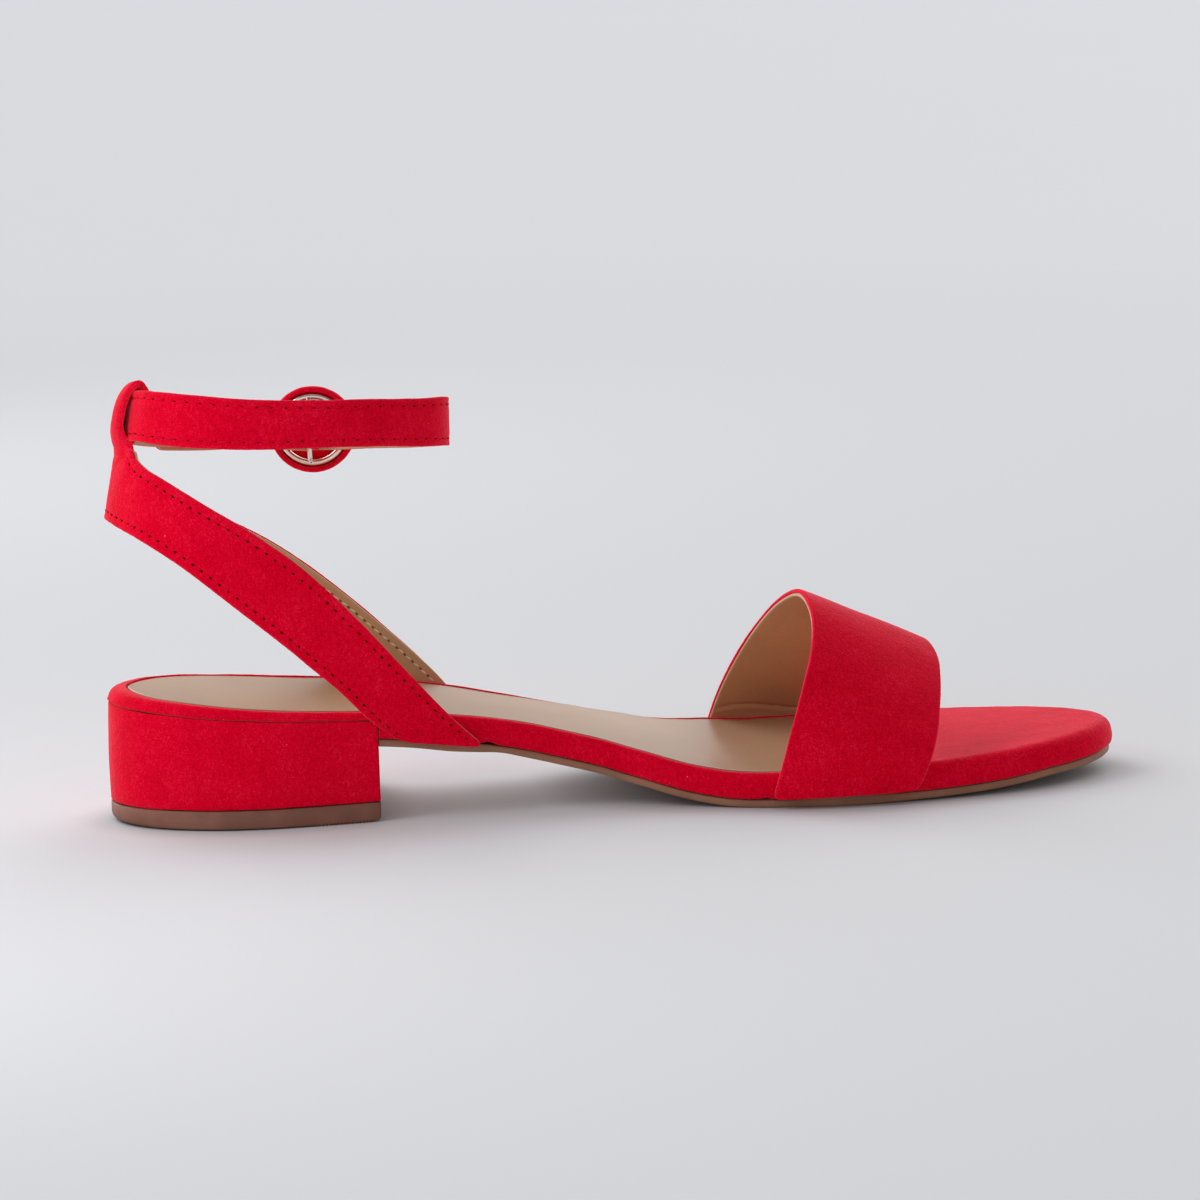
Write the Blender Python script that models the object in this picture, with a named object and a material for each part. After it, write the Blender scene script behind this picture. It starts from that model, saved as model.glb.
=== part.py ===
"""Low block-heel sandal with an ankle strap, left shoe, in the pieces its maker puts together.

Metres, +Z up, the toe along +X, the outer side of the foot along +Y. Tables are in millimetres
from the back of the heel, the sole's middle and the floor.
"""

import math
from collections import namedtuple

import bmesh
import bpy
import numpy as np

MM = 0.001
FIT_GAP = 0.3 * MM

# Sole
SOLE_LENGTH = 250 * MM
HEEL_ROUND = 42 * MM
HEEL_ROUND_POWER = 2.0
TOE_ROUND = 72 * MM
TOE_ROUND_POWER = 1.85
MIDSOLE_WALL = 6.4 * MM
MIDSOLE_FOOT_ROUND = 0.5 * MM
OUTSOLE_INSET = 0.7 * MM

# Footbed
SOCK_RIM = 0.7 * MM
SOCK_DRAFT = 0.2 * MM
SOCK_DEPTH = 1.2 * MM
SOCK_PROUD = 0.1 * MM
SOCK_FRONT = 180 * MM
FOOTBED_CUP = 0.8 * MM
SAG_WIDTH = 46 * MM

# Heel
HEEL_BREAST = 65 * MM
HEEL_SEAT_DISH = 3.2 * MM
HEEL_NARROWING = 1.3 * MM
LIFT_HEIGHT = 5.3 * MM
LIFT_BEVEL = 0.7 * MM

# Straps
VAMP_THICK = 1.8 * MM
SLING_THICK = 2.0 * MM
STRAP_THICK = 1.5 * MM
STRAP_TAIL = 40 * MM
TAIL_DROOP = 1.2 * MM
LOOP_THICK = 1.5 * MM
LOOP_TURN = math.radians(5)
LOOP_SLOPE = 0.18
EDGE_ROUND = 0.35 * MM

# Buckle
BUCKLE_TURN = math.radians(6)
COVER_RADIUS = 10.85 * MM
COVER_OPENING = 6.8 * MM
FRAME_RADIUS = 8.4 * MM
FRAME_WIRE = 0.75 * MM
BAR_WIRE = 0.6 * MM
BAR_BACK = 0.7 * MM
PRONG_WIRE = 0.55 * MM
PRONG_HOLE = 1.2 * MM
FOLD_TAIL = 8 * MM

# Steps of the facets
SOLE_STEPS = 38
ACROSS_SOLE = 8
BAND_STEPS = 36
SLING_STEPS = 72
STRAP_STEPS = 84
LOOP_STEPS = 30
RING_STEPS = 40
WIRE_STEPS = 8

Plan = namedtuple("Plan", "station centre half_width")
SOLE_PLAN = (
    Plan(0, -0.4, 29.0),
    Plan(40, 0.9, 29.0),
    Plan(70, 2.5, 27.4),
    Plan(100, 5.0, 24.6),
    Plan(120, 5.6, 27.0),
    Plan(142, 4.6, 34.8),
    Plan(160, 3.6, 40.4),
    Plan(178, 2.4, 42.0),
    Plan(200, 0.8, 42.0),
    Plan(225, -1.8, 42.0),
    Plan(250, -4.0, 42.0),
)

Profile = namedtuple("Profile", "station rim")
SOLE_PROFILE = (
    Profile(0, 33.0),
    Profile(15, 31.7),
    Profile(30, 30.1),
    Profile(45, 28.7),
    Profile(65, 27.2),
    Profile(85, 24.6),
    Profile(100, 21.4),
    Profile(125, 14.6),
    Profile(150, 9.6),
    Profile(163, 8.6),
    Profile(179, 8.6),
    Profile(200, 9.4),
    Profile(225, 10.8),
    Profile(250, 12.0),
)

Wall = namedtuple("Wall", "station seat tread top_round")
SOLE_WALL = (
    Wall(0, 3.4, 1.3, 1.6),
    Wall(65, 2.0, 1.3, 1.6),
    Wall(95, 2.0, 1.9, 1.6),
    Wall(184, 2.0, 1.9, 1.6),
    Wall(210, 2.0, 1.9, 3.4),
    Wall(250, 2.0, 1.9, 3.4),
)

Cut = namedtuple("Cut", "back_x back_y back_z front_x front_y front_z bulge")
VAMP_CUTS = (
    Cut(160.6, -39.1, 2.4, 196.2, -41.5, 2.4, 1.9),
    Cut(163.0, -39.3, 10.5, 198.6, -41.0, 9.0, 1.8),
    Cut(166.2, -38.2, 20.5, 201.0, -37.6, 15.6, 1.2),
    Cut(169.6, -34.4, 30.0, 203.4, -30.4, 21.8, 0.6),
    Cut(172.2, -27.0, 38.4, 205.0, -21.5, 27.2, 0.2),
    Cut(173.0, -16.5, 45.0, 205.6, -12.0, 31.8, 0.0),
    Cut(172.2, -4.0, 48.4, 204.2, -3.0, 34.6, 0.0),
    Cut(168.9, 9.0, 44.8, 201.2, 8.5, 32.4, 0.0),
    Cut(164.6, 21.0, 36.4, 197.4, 19.5, 27.0, 0.0),
    Cut(159.4, 32.4, 26.0, 192.6, 31.0, 19.8, 0.4),
    Cut(155.4, 41.4, 16.2, 188.4, 41.6, 13.0, 1.0),
    Cut(153.4, 44.6, 9.4, 186.0, 46.0, 8.4, 1.6),
    Cut(151.8, 44.6, 2.6, 184.4, 46.2, 2.4, 1.8),
)

Edge = namedtuple("Edge", "lower_x lower_y lower_z upper_x upper_y upper_z")
SLING_EDGES = (
    Edge(66.0, -27.8, 20.2, 90.0, -24.0, 17.0),
    Edge(62.0, -28.4, 26.4, 82.6, -25.6, 25.2),
    Edge(55.5, -29.2, 33.6, 72.0, -27.6, 37.8),
    Edge(46.5, -29.6, 42.0, 61.5, -28.7, 50.2),
    Edge(36.5, -29.4, 50.9, 49.5, -28.9, 62.8),
    Edge(27.0, -27.6, 58.8, 37.3, -27.9, 71.9),
    Edge(18.0, -24.0, 66.0, 25.3, -24.6, 79.9),
    Edge(9.6, -17.4, 71.3, 15.6, -18.2, 86.3),
    Edge(4.0, -9.0, 74.1, 8.4, -10.4, 89.2),
    Edge(2.6, -5.2, 74.9, 6.1, -6.6, 92.0),
    Edge(1.9, 0.3, 75.3, 5.0, 0.2, 92.2),
    Edge(2.6, 5.6, 74.6, 6.0, 6.6, 90.6),
    Edge(4.2, 9.6, 73.2, 8.0, 10.2, 87.0),
    Edge(10.0, 18.2, 67.6, 16.6, 19.6, 79.8),
    Edge(19.6, 25.2, 59.4, 30.0, 26.6, 71.2),
    Edge(30.8, 29.4, 50.8, 44.0, 29.6, 62.8),
    Edge(43.0, 31.4, 41.4, 58.0, 31.2, 51.8),
    Edge(54.5, 32.2, 31.8, 71.5, 32.2, 39.2),
    Edge(62.8, 32.4, 24.8, 84.0, 32.6, 26.2),
    Edge(66.5, 32.4, 20.2, 91.0, 32.6, 16.8),
)

Fold = namedtuple("Fold", "x z half_width")
LOOP_FOLDS = (
    Fold(6.2, 89.6, 5.9),
    Fold(5.4, 92.2, 6.1),
    Fold(4.9, 94.6, 6.2),
    Fold(4.75, 97.2, 6.2),
    Fold(4.95, 99.8, 6.2),
    Fold(5.5, 102.4, 6.2),
    Fold(6.5, 105.0, 6.2),
    Fold(8.0, 107.3, 6.2),
    Fold(9.8, 108.6, 6.2),
    Fold(11.6, 108.4, 6.2),
    Fold(13.0, 106.8, 6.1),
    Fold(13.3, 104.4, 6.0),
    Fold(12.8, 101.4, 5.8),
    Fold(12.2, 98.2, 5.4),
    Fold(11.7, 96.0, 5.2),
    Fold(11.1, 94.2, 5.0),
    Fold(10.2, 92.6, 5.0),
    Fold(9.0, 91.2, 5.0),
    Fold(8.0, 89.8, 5.0),
)

Path = namedtuple("Path", "x y z lean width")
ANKLE_RING = (
    Path(54.6, 28.0, 90.8, 0.0, 12.0),
    Path(67.2, 24.6, 91.6, 0.0, 12.0),
    Path(77.4, 17.4, 92.5, 0.0, 12.0),
    Path(83.8, 9.2, 93.5, 0.02, 12.0),
    Path(86.2, 1.2, 94.5, 0.02, 12.0),
    Path(84.4, -5.8, 95.5, 0.02, 12.0),
    Path(78.2, -13.2, 96.5, 0.0, 12.0),
    Path(67.5, -20.6, 97.6, 0.0, 12.0),
    Path(54.0, -25.4, 98.6, 0.0, 12.0),
    Path(38.0, -26.6, 99.8, 0.0, 12.4),
    Path(24.0, -22.8, 100.9, 0.08, 12.8),
    Path(15.4, -16.4, 101.4, 0.14, 12.8),
    Path(10.9, -9.4, 101.2, 0.18, 12.4),
    Path(8.6, 0.0, 99.7, 0.2, 12.0),
    Path(10.0, 9.6, 98.3, 0.18, 12.0),
    Path(16.0, 19.6, 96.4, 0.1, 12.0),
    Path(27.0, 26.6, 94.2, 0.0, 12.0),
    Path(41.0, 28.6, 92.2, 0.0, 12.0),
)

Line = namedtuple("Line", "inset height narrowing", defaults=(0.0,))
Finish = namedtuple("Finish", "colour roughness metallic")
SUEDE = Finish((0.52, 0.006, 0.022), 0.9, 0.0)
LEATHER = Finish((0.46, 0.30, 0.20), 0.5, 0.0)
BROWN_RUBBER = Finish((0.17, 0.075, 0.052), 0.6, 0.0)
NICKEL = Finish((0.72, 0.68, 0.62), 0.25, 1.0)


def flowing(table, column):
    """A smooth function of station through one column, level where two neighbours are equal."""
    xs = np.array([row.station for row in table]) * MM
    ys = np.array([getattr(row, column) for row in table]) * MM
    steps = np.diff(xs)
    rises = np.diff(ys) / steps
    slopes = np.concatenate(([rises[0]], np.zeros(len(xs) - 2), [rises[-1]]))
    for i in range(1, len(xs) - 1):
        before, after = rises[i - 1], rises[i]
        if before * after > 0:
            slopes[i] = 2 * before * after / (before + after)

    def value(x):
        x = float(np.clip(x, xs[0], xs[-1]))
        i = int(np.clip(np.searchsorted(xs, x, side="right") - 1, 0, len(steps) - 1))
        t = (x - xs[i]) / steps[i]
        start = ys[i] * (1 + 2 * t) * (1 - t) ** 2 + slopes[i] * steps[i] * t * (1 - t) ** 2
        end = ys[i + 1] * t * t * (3 - 2 * t) + slopes[i + 1] * steps[i] * t * t * (t - 1)
        return start + end

    return value


def through(points, count, closed=False):
    """Points evenly spaced along a smooth curve through the given points."""
    points = np.asarray(points, float)
    if closed:
        points = np.vstack([points[-2:], points, points[:3]])
    gaps = np.linalg.norm(np.diff(points, axis=0), axis=1) ** 0.5
    knots = np.concatenate(([0.0], np.cumsum(gaps)))
    slopes = np.gradient(points, knots, axis=0)
    first, last = (knots[2], knots[-3]) if closed else (knots[0], knots[-1])
    dense = np.array([hermite(points, knots, slopes, u) for u in np.linspace(first, last, 900)])
    run = np.concatenate(([0.0], np.cumsum(np.linalg.norm(np.diff(dense[:, :3], axis=0), axis=1))))
    wanted = np.linspace(0.0, run[-1], count, endpoint=not closed)
    return np.stack([np.interp(wanted, run, dense[:, k]) for k in range(dense.shape[1])], axis=1)


def hermite(points, knots, slopes, u):
    """One point of the cubic through points at knots with the given slopes."""
    i = int(np.clip(np.searchsorted(knots, u, side="right") - 1, 0, len(knots) - 2))
    step = knots[i + 1] - knots[i]
    t = (u - knots[i]) / step
    start = points[i] * (1 + 2 * t) * (1 - t) ** 2 + slopes[i] * step * t * (1 - t) ** 2
    end = points[i + 1] * t * t * (3 - 2 * t) + slopes[i + 1] * step * t * t * (t - 1)
    return start + end


def unit(vectors):
    """Vectors scaled to length one."""
    return vectors / np.linalg.norm(vectors, axis=-1, keepdims=True)


plan_centre = flowing(SOLE_PLAN, "centre")
plan_half = flowing(SOLE_PLAN, "half_width")
rim = flowing(SOLE_PROFILE, "rim")
seat_wall = flowing(SOLE_WALL, "seat")
tread_thick = flowing(SOLE_WALL, "tread")
top_round = flowing(SOLE_WALL, "top_round")


def half_width(station):
    """Half the sole's width, closed in a round at the heel and at the toe."""
    width = plan_half(station)
    if station < HEEL_ROUND:
        back = (HEEL_ROUND - station) / HEEL_ROUND
        width *= max(0.0, 1 - back**HEEL_ROUND_POWER) ** (1 / HEEL_ROUND_POWER)
    front_start = SOLE_LENGTH - TOE_ROUND
    if station > front_start:
        front = (station - front_start) / TOE_ROUND
        width *= max(0.0, 1 - front**TOE_ROUND_POWER) ** (1 / TOE_ROUND_POWER)
    return width


def station_of(turn):
    """Station at a turn that runs from 0 at the heel to pi at the toe, close together at both."""
    return SOLE_LENGTH * (1 - math.cos(turn)) / 2


def turn_of(station):
    """The turn at a station."""
    return math.acos(1 - 2 * station / SOLE_LENGTH)


def turns_of(count, stations):
    """Even turns from heel to toe, with the stations where a face steps in place of near ones."""
    fixed = [turn_of(station) for station in stations]
    even = np.linspace(0.0, math.pi, count + 1)
    kept = [float(t) for t in even if all(abs(t - f) > 0.012 for f in fixed)]
    return sorted(kept + fixed)


def edge_point(turn, side, inset, narrowing=0.0):
    """A point of the sole's edge in plan, moved in by inset along the edge's normal."""
    def outline(t):
        x = station_of(t)
        width = half_width(x)
        squeeze = narrowing * min(1.0, width / (20 * MM))
        return np.array([x, plan_centre(x) + side * (width - squeeze)])

    small = 1e-4
    if turn < small or turn > math.pi - small:
        along = np.array([0.0, side if turn < small else -side])
    else:
        along = unit(outline(turn + small) - outline(turn - small))
    inward = np.array([-along[1], along[0]]) * -side
    return outline(turn) + inward * inset


def plate(turns, wall, top_sag, bottom_sag):
    """Closed sections of a plate under the foot.

    wall lists the lines that run round its edge from the bottom up; a sag lowers the middle of
    the top or of the bottom.
    """
    sections = []
    for turn in turns:
        station = station_of(turn)
        sides = []
        for side in (-1, 1):
            points = []
            for line in wall:
                inset = line.inset(station) if callable(line.inset) else line.inset
                plan = edge_point(turn, side, inset, line.narrowing)
                points.append((*plan, line.height(station)))
            sides.append(np.array(points))
        inner, outer = sides
        parts = np.arange(1, ACROSS_SOLE) / ACROSS_SOLE
        open_width = min(1.0, (outer[0, 1] - inner[0, 1]) / SAG_WIDTH)
        bow = 4 * parts * (1 - parts) * open_width**2
        top = inner[-1] + np.outer(parts, outer[-1] - inner[-1])
        top[:, 2] -= top_sag(station) * bow
        bottom = inner[0] + np.outer(parts, outer[0] - inner[0])
        bottom[:, 2] -= bottom_sag(station) * bow
        sections.append(np.vstack([inner, top, outer[::-1], bottom[::-1]]))
    return np.array(sections)


def level(station):
    """No sag."""
    return 0.0


def crease(station):
    """Height of the line where the heel's cover meets the midsole."""
    return rim(station) - seat_wall(station)


def underside(station):
    """Height of the midsole's lower edge: on the heel seat, then a full wall ahead of the breast."""
    if station < HEEL_BREAST:
        return crease(station)
    return rim(station) - MIDSOLE_WALL


def seat_dish(station):
    """How far the middle of the heel seat lies below its edge."""
    return HEEL_SEAT_DISH if station < HEEL_BREAST else 0.0


def tread(station):
    """Height of the outsole's underside."""
    return underside(station) - FIT_GAP - tread_thick(station)


def sock_floor(station):
    """Height of the seat cut for the insole, flush with the rim ahead of it."""
    ahead = (station - SOCK_FRONT - FIT_GAP) / MM
    return rim(station) - SOCK_DEPTH * float(np.clip(1 - ahead, 0.0, 1.0))


def cup(station):
    """How far the footbed's middle lies below its edge."""
    fade = (station - SOCK_FRONT + 30 * MM) / (30 * MM)
    return FOOTBED_CUP * float(np.clip(1 - fade, 0.0, 1.0))


def shoulder(station):
    """Inset and drop of the middle of the midsole's rounded top edge."""
    return top_round(station) * (1 - math.sqrt(0.5))


def raised(size, by):
    """A function of station with a fixed amount added."""
    return lambda station: size(station) + by


def build_mesh(name, finish, sections, closed=False):
    """One solid skinned over closed sections, its open ends capped."""
    sections = np.asarray(sections)
    count, around = sections.shape[:2]
    mesh = bpy.data.meshes.new(name)
    body = bmesh.new()
    rows = [[body.verts.new(point) for point in section] for section in sections]
    for i in range(count if closed else count - 1):
        here, ahead = rows[i], rows[(i + 1) % count]
        for j in range(around):
            k = (j + 1) % around
            body.faces.new((here[j], here[k], ahead[k], ahead[j]))
    if not closed:
        for row in (rows[0], rows[-1]):
            extent = np.ptp(np.array([vert.co for vert in row]), axis=0)
            if np.sort(extent)[1] > 1e-5:
                body.faces.new(row)
    bmesh.ops.remove_doubles(body, verts=body.verts, dist=2e-6)
    bmesh.ops.dissolve_degenerate(body, edges=body.edges, dist=1e-6)
    bmesh.ops.recalc_face_normals(body, faces=body.faces)
    body.to_mesh(mesh)
    body.free()
    mesh.shade_smooth()
    mesh.set_sharp_from_angle(angle=math.radians(38))
    piece = bpy.data.objects.new(name, mesh)
    bpy.context.scene.collection.objects.link(piece)
    if finish is not None:
        mesh.materials.append(principled(name, finish))
    return piece


def principled(name, finish):
    """A material with the piece's colour, roughness and metallic."""
    material = bpy.data.materials.new(name + "_finish")
    material.use_nodes = True
    surface = material.node_tree.nodes["Principled BSDF"]
    surface.inputs["Base Color"].default_value = (*finish.colour, 1.0)
    surface.inputs["Roughness"].default_value = finish.roughness
    surface.inputs["Metallic"].default_value = finish.metallic
    material.diffuse_color = (*finish.colour, 1.0)
    return material


def strap_sections(lower, upper, thick, outside, bulges=None, across=4):
    """Closed sections of a strap between two edge lines.

    outside is the share of the thickness that lies on the outer side of the lines; a bulge pushes
    the middle of the strap outward.
    """
    middle = (lower + upper) / 2
    along = unit(np.gradient(middle, axis=0))
    width = upper - lower
    normal = unit(np.cross(width, along))
    reach = np.linalg.norm(width, axis=1, keepdims=True)
    shares = np.linspace(0.0, 1.0, across + 1)
    bulges = np.zeros(len(middle)) if bulges is None else bulges
    high, low = thick * outside, thick * (outside - 1)
    outer, inner = [], []
    for share in shares:
        end = EDGE_ROUND / reach * (1 if share == 0.0 else -1 if share == 1.0 else 0)
        base = lower + width * (share + end)
        push = bulges[:, None] * 4 * share * (1 - share)
        outer.append(base + normal * (push + high))
        inner.append(base + normal * (push + low))
    rounds = []
    for line in (lower, upper):
        rounds.append(line + normal * (high - EDGE_ROUND))
        rounds.append(line + normal * (low + EDGE_ROUND))
    loop = [rounds[0], *outer, rounds[2], rounds[3], *inner[::-1], rounds[1]]
    return np.stack(loop, axis=1)


def wire_sections(path, radius, closed=False):
    """Round sections along a wire."""
    path = np.asarray(path, float)
    if closed:
        along = unit(np.roll(path, -1, axis=0) - np.roll(path, 1, axis=0))
    else:
        along = unit(np.gradient(path, axis=0))
    side = unit(np.cross(along, np.array([0.31, 0.93, 0.17])))
    up = np.cross(side, along)
    angles = np.arange(WIRE_STEPS) * math.tau / WIRE_STEPS
    return np.stack([path + radius * (math.cos(a) * side + math.sin(a) * up) for a in angles], axis=1)


def joined(piece, other, operation):
    """A Boolean of one solid with another, which stays as a hidden guide."""
    other.hide_render = True
    other.display_type = "WIRE"
    step = piece.modifiers.new("join_" + other.name, "BOOLEAN")
    step.operation = operation
    step.solver = "EXACT"
    step.use_self = True
    step.object = other


def make_sole():
    """Outsole, midsole, insole, heel block and heel lift."""
    breast_steps = (HEEL_BREAST - 0.01 * MM, HEEL_BREAST + 0.01 * MM)
    sock_steps = (SOCK_FRONT + FIT_GAP, SOCK_FRONT + FIT_GAP + MM)
    flat_steps = tuple(row.station * MM for row in SOLE_PROFILE if row.station in (163, 179))
    whole = turns_of(SOLE_STEPS, breast_steps + sock_steps + flat_steps)
    on_heel = [t for t in whole if station_of(t) < HEEL_BREAST - MM]
    on_heel.append(turn_of(HEEL_BREAST - FIT_GAP))
    on_front = [t for t in whole if station_of(t) > HEEL_BREAST + MM]
    on_front.insert(0, turn_of(HEEL_BREAST))
    on_sock = [t for t in whole if station_of(t) < SOCK_FRONT - MM]
    on_sock.append(turn_of(SOCK_FRONT))
    midsole_wall = (
        Line(MIDSOLE_FOOT_ROUND, underside),
        Line(0.0, raised(underside, MIDSOLE_FOOT_ROUND)),
        Line(0.0, lambda station: rim(station) - top_round(station)),
        Line(shoulder, lambda station: rim(station) - shoulder(station)),
        Line(top_round, rim),
        Line(raised(top_round, SOCK_RIM), rim),
        Line(raised(top_round, SOCK_RIM + SOCK_DRAFT), sock_floor),
    )
    midsole = build_mesh("midsole", SUEDE, plate(whole, midsole_wall, cup, seat_dish))

    sock_edge = top_round(0) + SOCK_RIM + SOCK_DRAFT + FIT_GAP
    insole_wall = (
        Line(sock_edge, raised(rim, FIT_GAP - SOCK_DEPTH)),
        Line(sock_edge, raised(rim, SOCK_PROUD - EDGE_ROUND)),
        Line(sock_edge + EDGE_ROUND, raised(rim, SOCK_PROUD)),
    )
    insole = build_mesh("insole", LEATHER, plate(on_sock, insole_wall, cup, cup))

    outsole_wall = (
        Line(OUTSOLE_INSET + 0.6 * MM, tread),
        Line(OUTSOLE_INSET, raised(tread, 0.6 * MM)),
        Line(OUTSOLE_INSET, raised(underside, -FIT_GAP)),
    )
    outsole = build_mesh("outsole", BROWN_RUBBER, plate(on_front, outsole_wall, level, level))

    heel_wall = (
        Line(0.3 * MM, lambda station: LIFT_HEIGHT + FIT_GAP, HEEL_NARROWING),
        Line(0.0, lambda station: LIFT_HEIGHT + 2 * FIT_GAP, HEEL_NARROWING),
        Line(0.0, raised(crease, -FIT_GAP - MIDSOLE_FOOT_ROUND)),
        Line(MIDSOLE_FOOT_ROUND, raised(crease, -FIT_GAP)),
    )
    heel = build_mesh("heel_block", SUEDE, plate(on_heel, heel_wall, seat_dish, level))

    lift_wall = (
        Line(LIFT_BEVEL, level, HEEL_NARROWING),
        Line(0.1 * MM, lambda station: LIFT_BEVEL, HEEL_NARROWING),
        Line(0.1 * MM, lambda station: LIFT_HEIGHT, HEEL_NARROWING),
    )
    lift = build_mesh("heel_lift", BROWN_RUBBER, plate(on_heel, lift_wall, level, level))
    return [outsole, midsole, insole, heel, lift]


def make_vamp():
    """The band over the forefoot."""
    rows = through(np.array(VAMP_CUTS) * MM, BAND_STEPS)
    sections = strap_sections(rows[:, :3], rows[:, 3:6], VAMP_THICK, 0.0, rows[:, 6], across=5)
    return build_mesh("vamp_band", SUEDE, sections)


def make_sling():
    """The strap round the back of the ankle and the loop folded from its middle."""
    rows = through(np.array(SLING_EDGES) * MM, SLING_STEPS)
    sling = build_mesh(
        "heel_sling", SUEDE, strap_sections(rows[:, :3], rows[:, 3:], SLING_THICK, 0.0)
    )
    folds = through(np.array(LOOP_FOLDS) * MM, LOOP_STEPS)
    line = np.stack([folds[:, 0], np.zeros(len(folds)), folds[:, 1]], axis=1)
    across = np.array([-math.sin(LOOP_TURN), math.cos(LOOP_TURN), -LOOP_SLOPE])
    side = np.outer(folds[:, 2], across)
    loop = build_mesh("loop_fold", None, strap_sections(line + side, line - side, LOOP_THICK, 0.0))
    joined(sling, loop, "UNION")
    return sling


class BuckleFrame:
    """Axes at the buckle: along the strap towards the toe, out from the ankle, and up."""

    def __init__(self, origin):
        self.origin = origin
        self.along = np.array([math.cos(BUCKLE_TURN), -math.sin(BUCKLE_TURN), 0.0])
        self.up = np.array([0.0, 0.0, 1.0])
        self.out = np.cross(self.up, self.along)

    def place(self, local):
        """Points given along, out and up, in the shoe's axes."""
        local = np.asarray(local, float)
        return self.origin + local @ np.stack([self.along, self.out, self.up])


def ankle_path(ring, frame):
    """Middle line, lean and width of the strap from its tip to the fold on the bar."""
    lines, looks = ring[:, :3], ring[:, 3:]
    run = np.concatenate(([0.0], np.cumsum(np.linalg.norm(np.diff(lines, axis=0), axis=1))))
    whole = run[-1] + np.linalg.norm(lines[0] - lines[-1])
    ahead = np.roll(lines, -1, axis=0) - np.roll(lines, 1, axis=0)
    ahead[:, 2] = 0.0
    out = np.cross([0.0, 0.0, 1.0], unit(ahead))
    lap = STRAP_THICK + FIT_GAP

    on_tail = (run > whole - STRAP_TAIL) & (run < whole - 5 * MM)
    tail = lines[on_tail] + out[on_tail] * lap
    droop = np.clip((whole - run[on_tail] - 12 * MM) / (14 * MM), 0.0, 1.0)
    tail[:, 2] -= TAIL_DROOP * droop * droop * (3 - 2 * droop)
    over_bar = frame.place([(-2.0 * MM, lap, 0.0), (2.0 * MM, lap, 0.0), (6.0 * MM, 0.9 * MM, 0.0)])
    on_ring = (run > 11 * MM) & (run < whole - 3 * MM)
    bends = np.vstack([
        np.hstack([tail, looks[on_tail]]),
        np.hstack([over_bar, np.tile(looks[0], (3, 1))]),
        ring[on_ring],
    ])
    strap = through(bends, STRAP_STEPS)

    turn = STRAP_THICK / 2 + FIT_GAP + BAR_WIRE
    angles = np.radians(np.linspace(90, -90, 13))
    fold = np.stack([turn * np.cos(angles), turn * np.sin(angles) - turn, np.zeros(13)], axis=1)
    fold = np.vstack([fold, [(-FOLD_TAIL / 2, -2 * turn, 0.0), (-FOLD_TAIL, -2.1 * turn, 0.0)]])
    fold[:, 0] -= BAR_BACK
    folded = np.hstack([frame.place(fold), np.tile(looks[0], (len(fold), 1))])
    return np.vstack([strap, folded]), turn


def make_ankle(ring, frame):
    """The ankle strap, lapped at the buckle, with the hole its prong goes through."""
    path, turn = ankle_path(ring, frame)
    line, lean, width = path[:, :3], path[:, 3], path[:, 4]
    along = unit(np.gradient(line, axis=0))
    up = np.stack([lean / MM, np.zeros(len(line)), np.ones(len(line))], axis=1)
    up -= along * np.sum(along * up, axis=1, keepdims=True)
    half = unit(up) * width[:, None] / 2
    sections = strap_sections(line - half, line + half, STRAP_THICK, 0.5, across=2)
    strap = build_mesh("ankle_strap", SUEDE, sections)
    lap = STRAP_THICK + FIT_GAP
    ends = frame.place([(0.0, lap - 1.3 * MM, 0.0), (0.0, lap + 1.6 * MM, 0.0)])
    punch = build_mesh("prong_punch", None, wire_sections(ends, PRONG_HOLE))
    joined(strap, punch, "DIFFERENCE")
    return strap, turn


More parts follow.
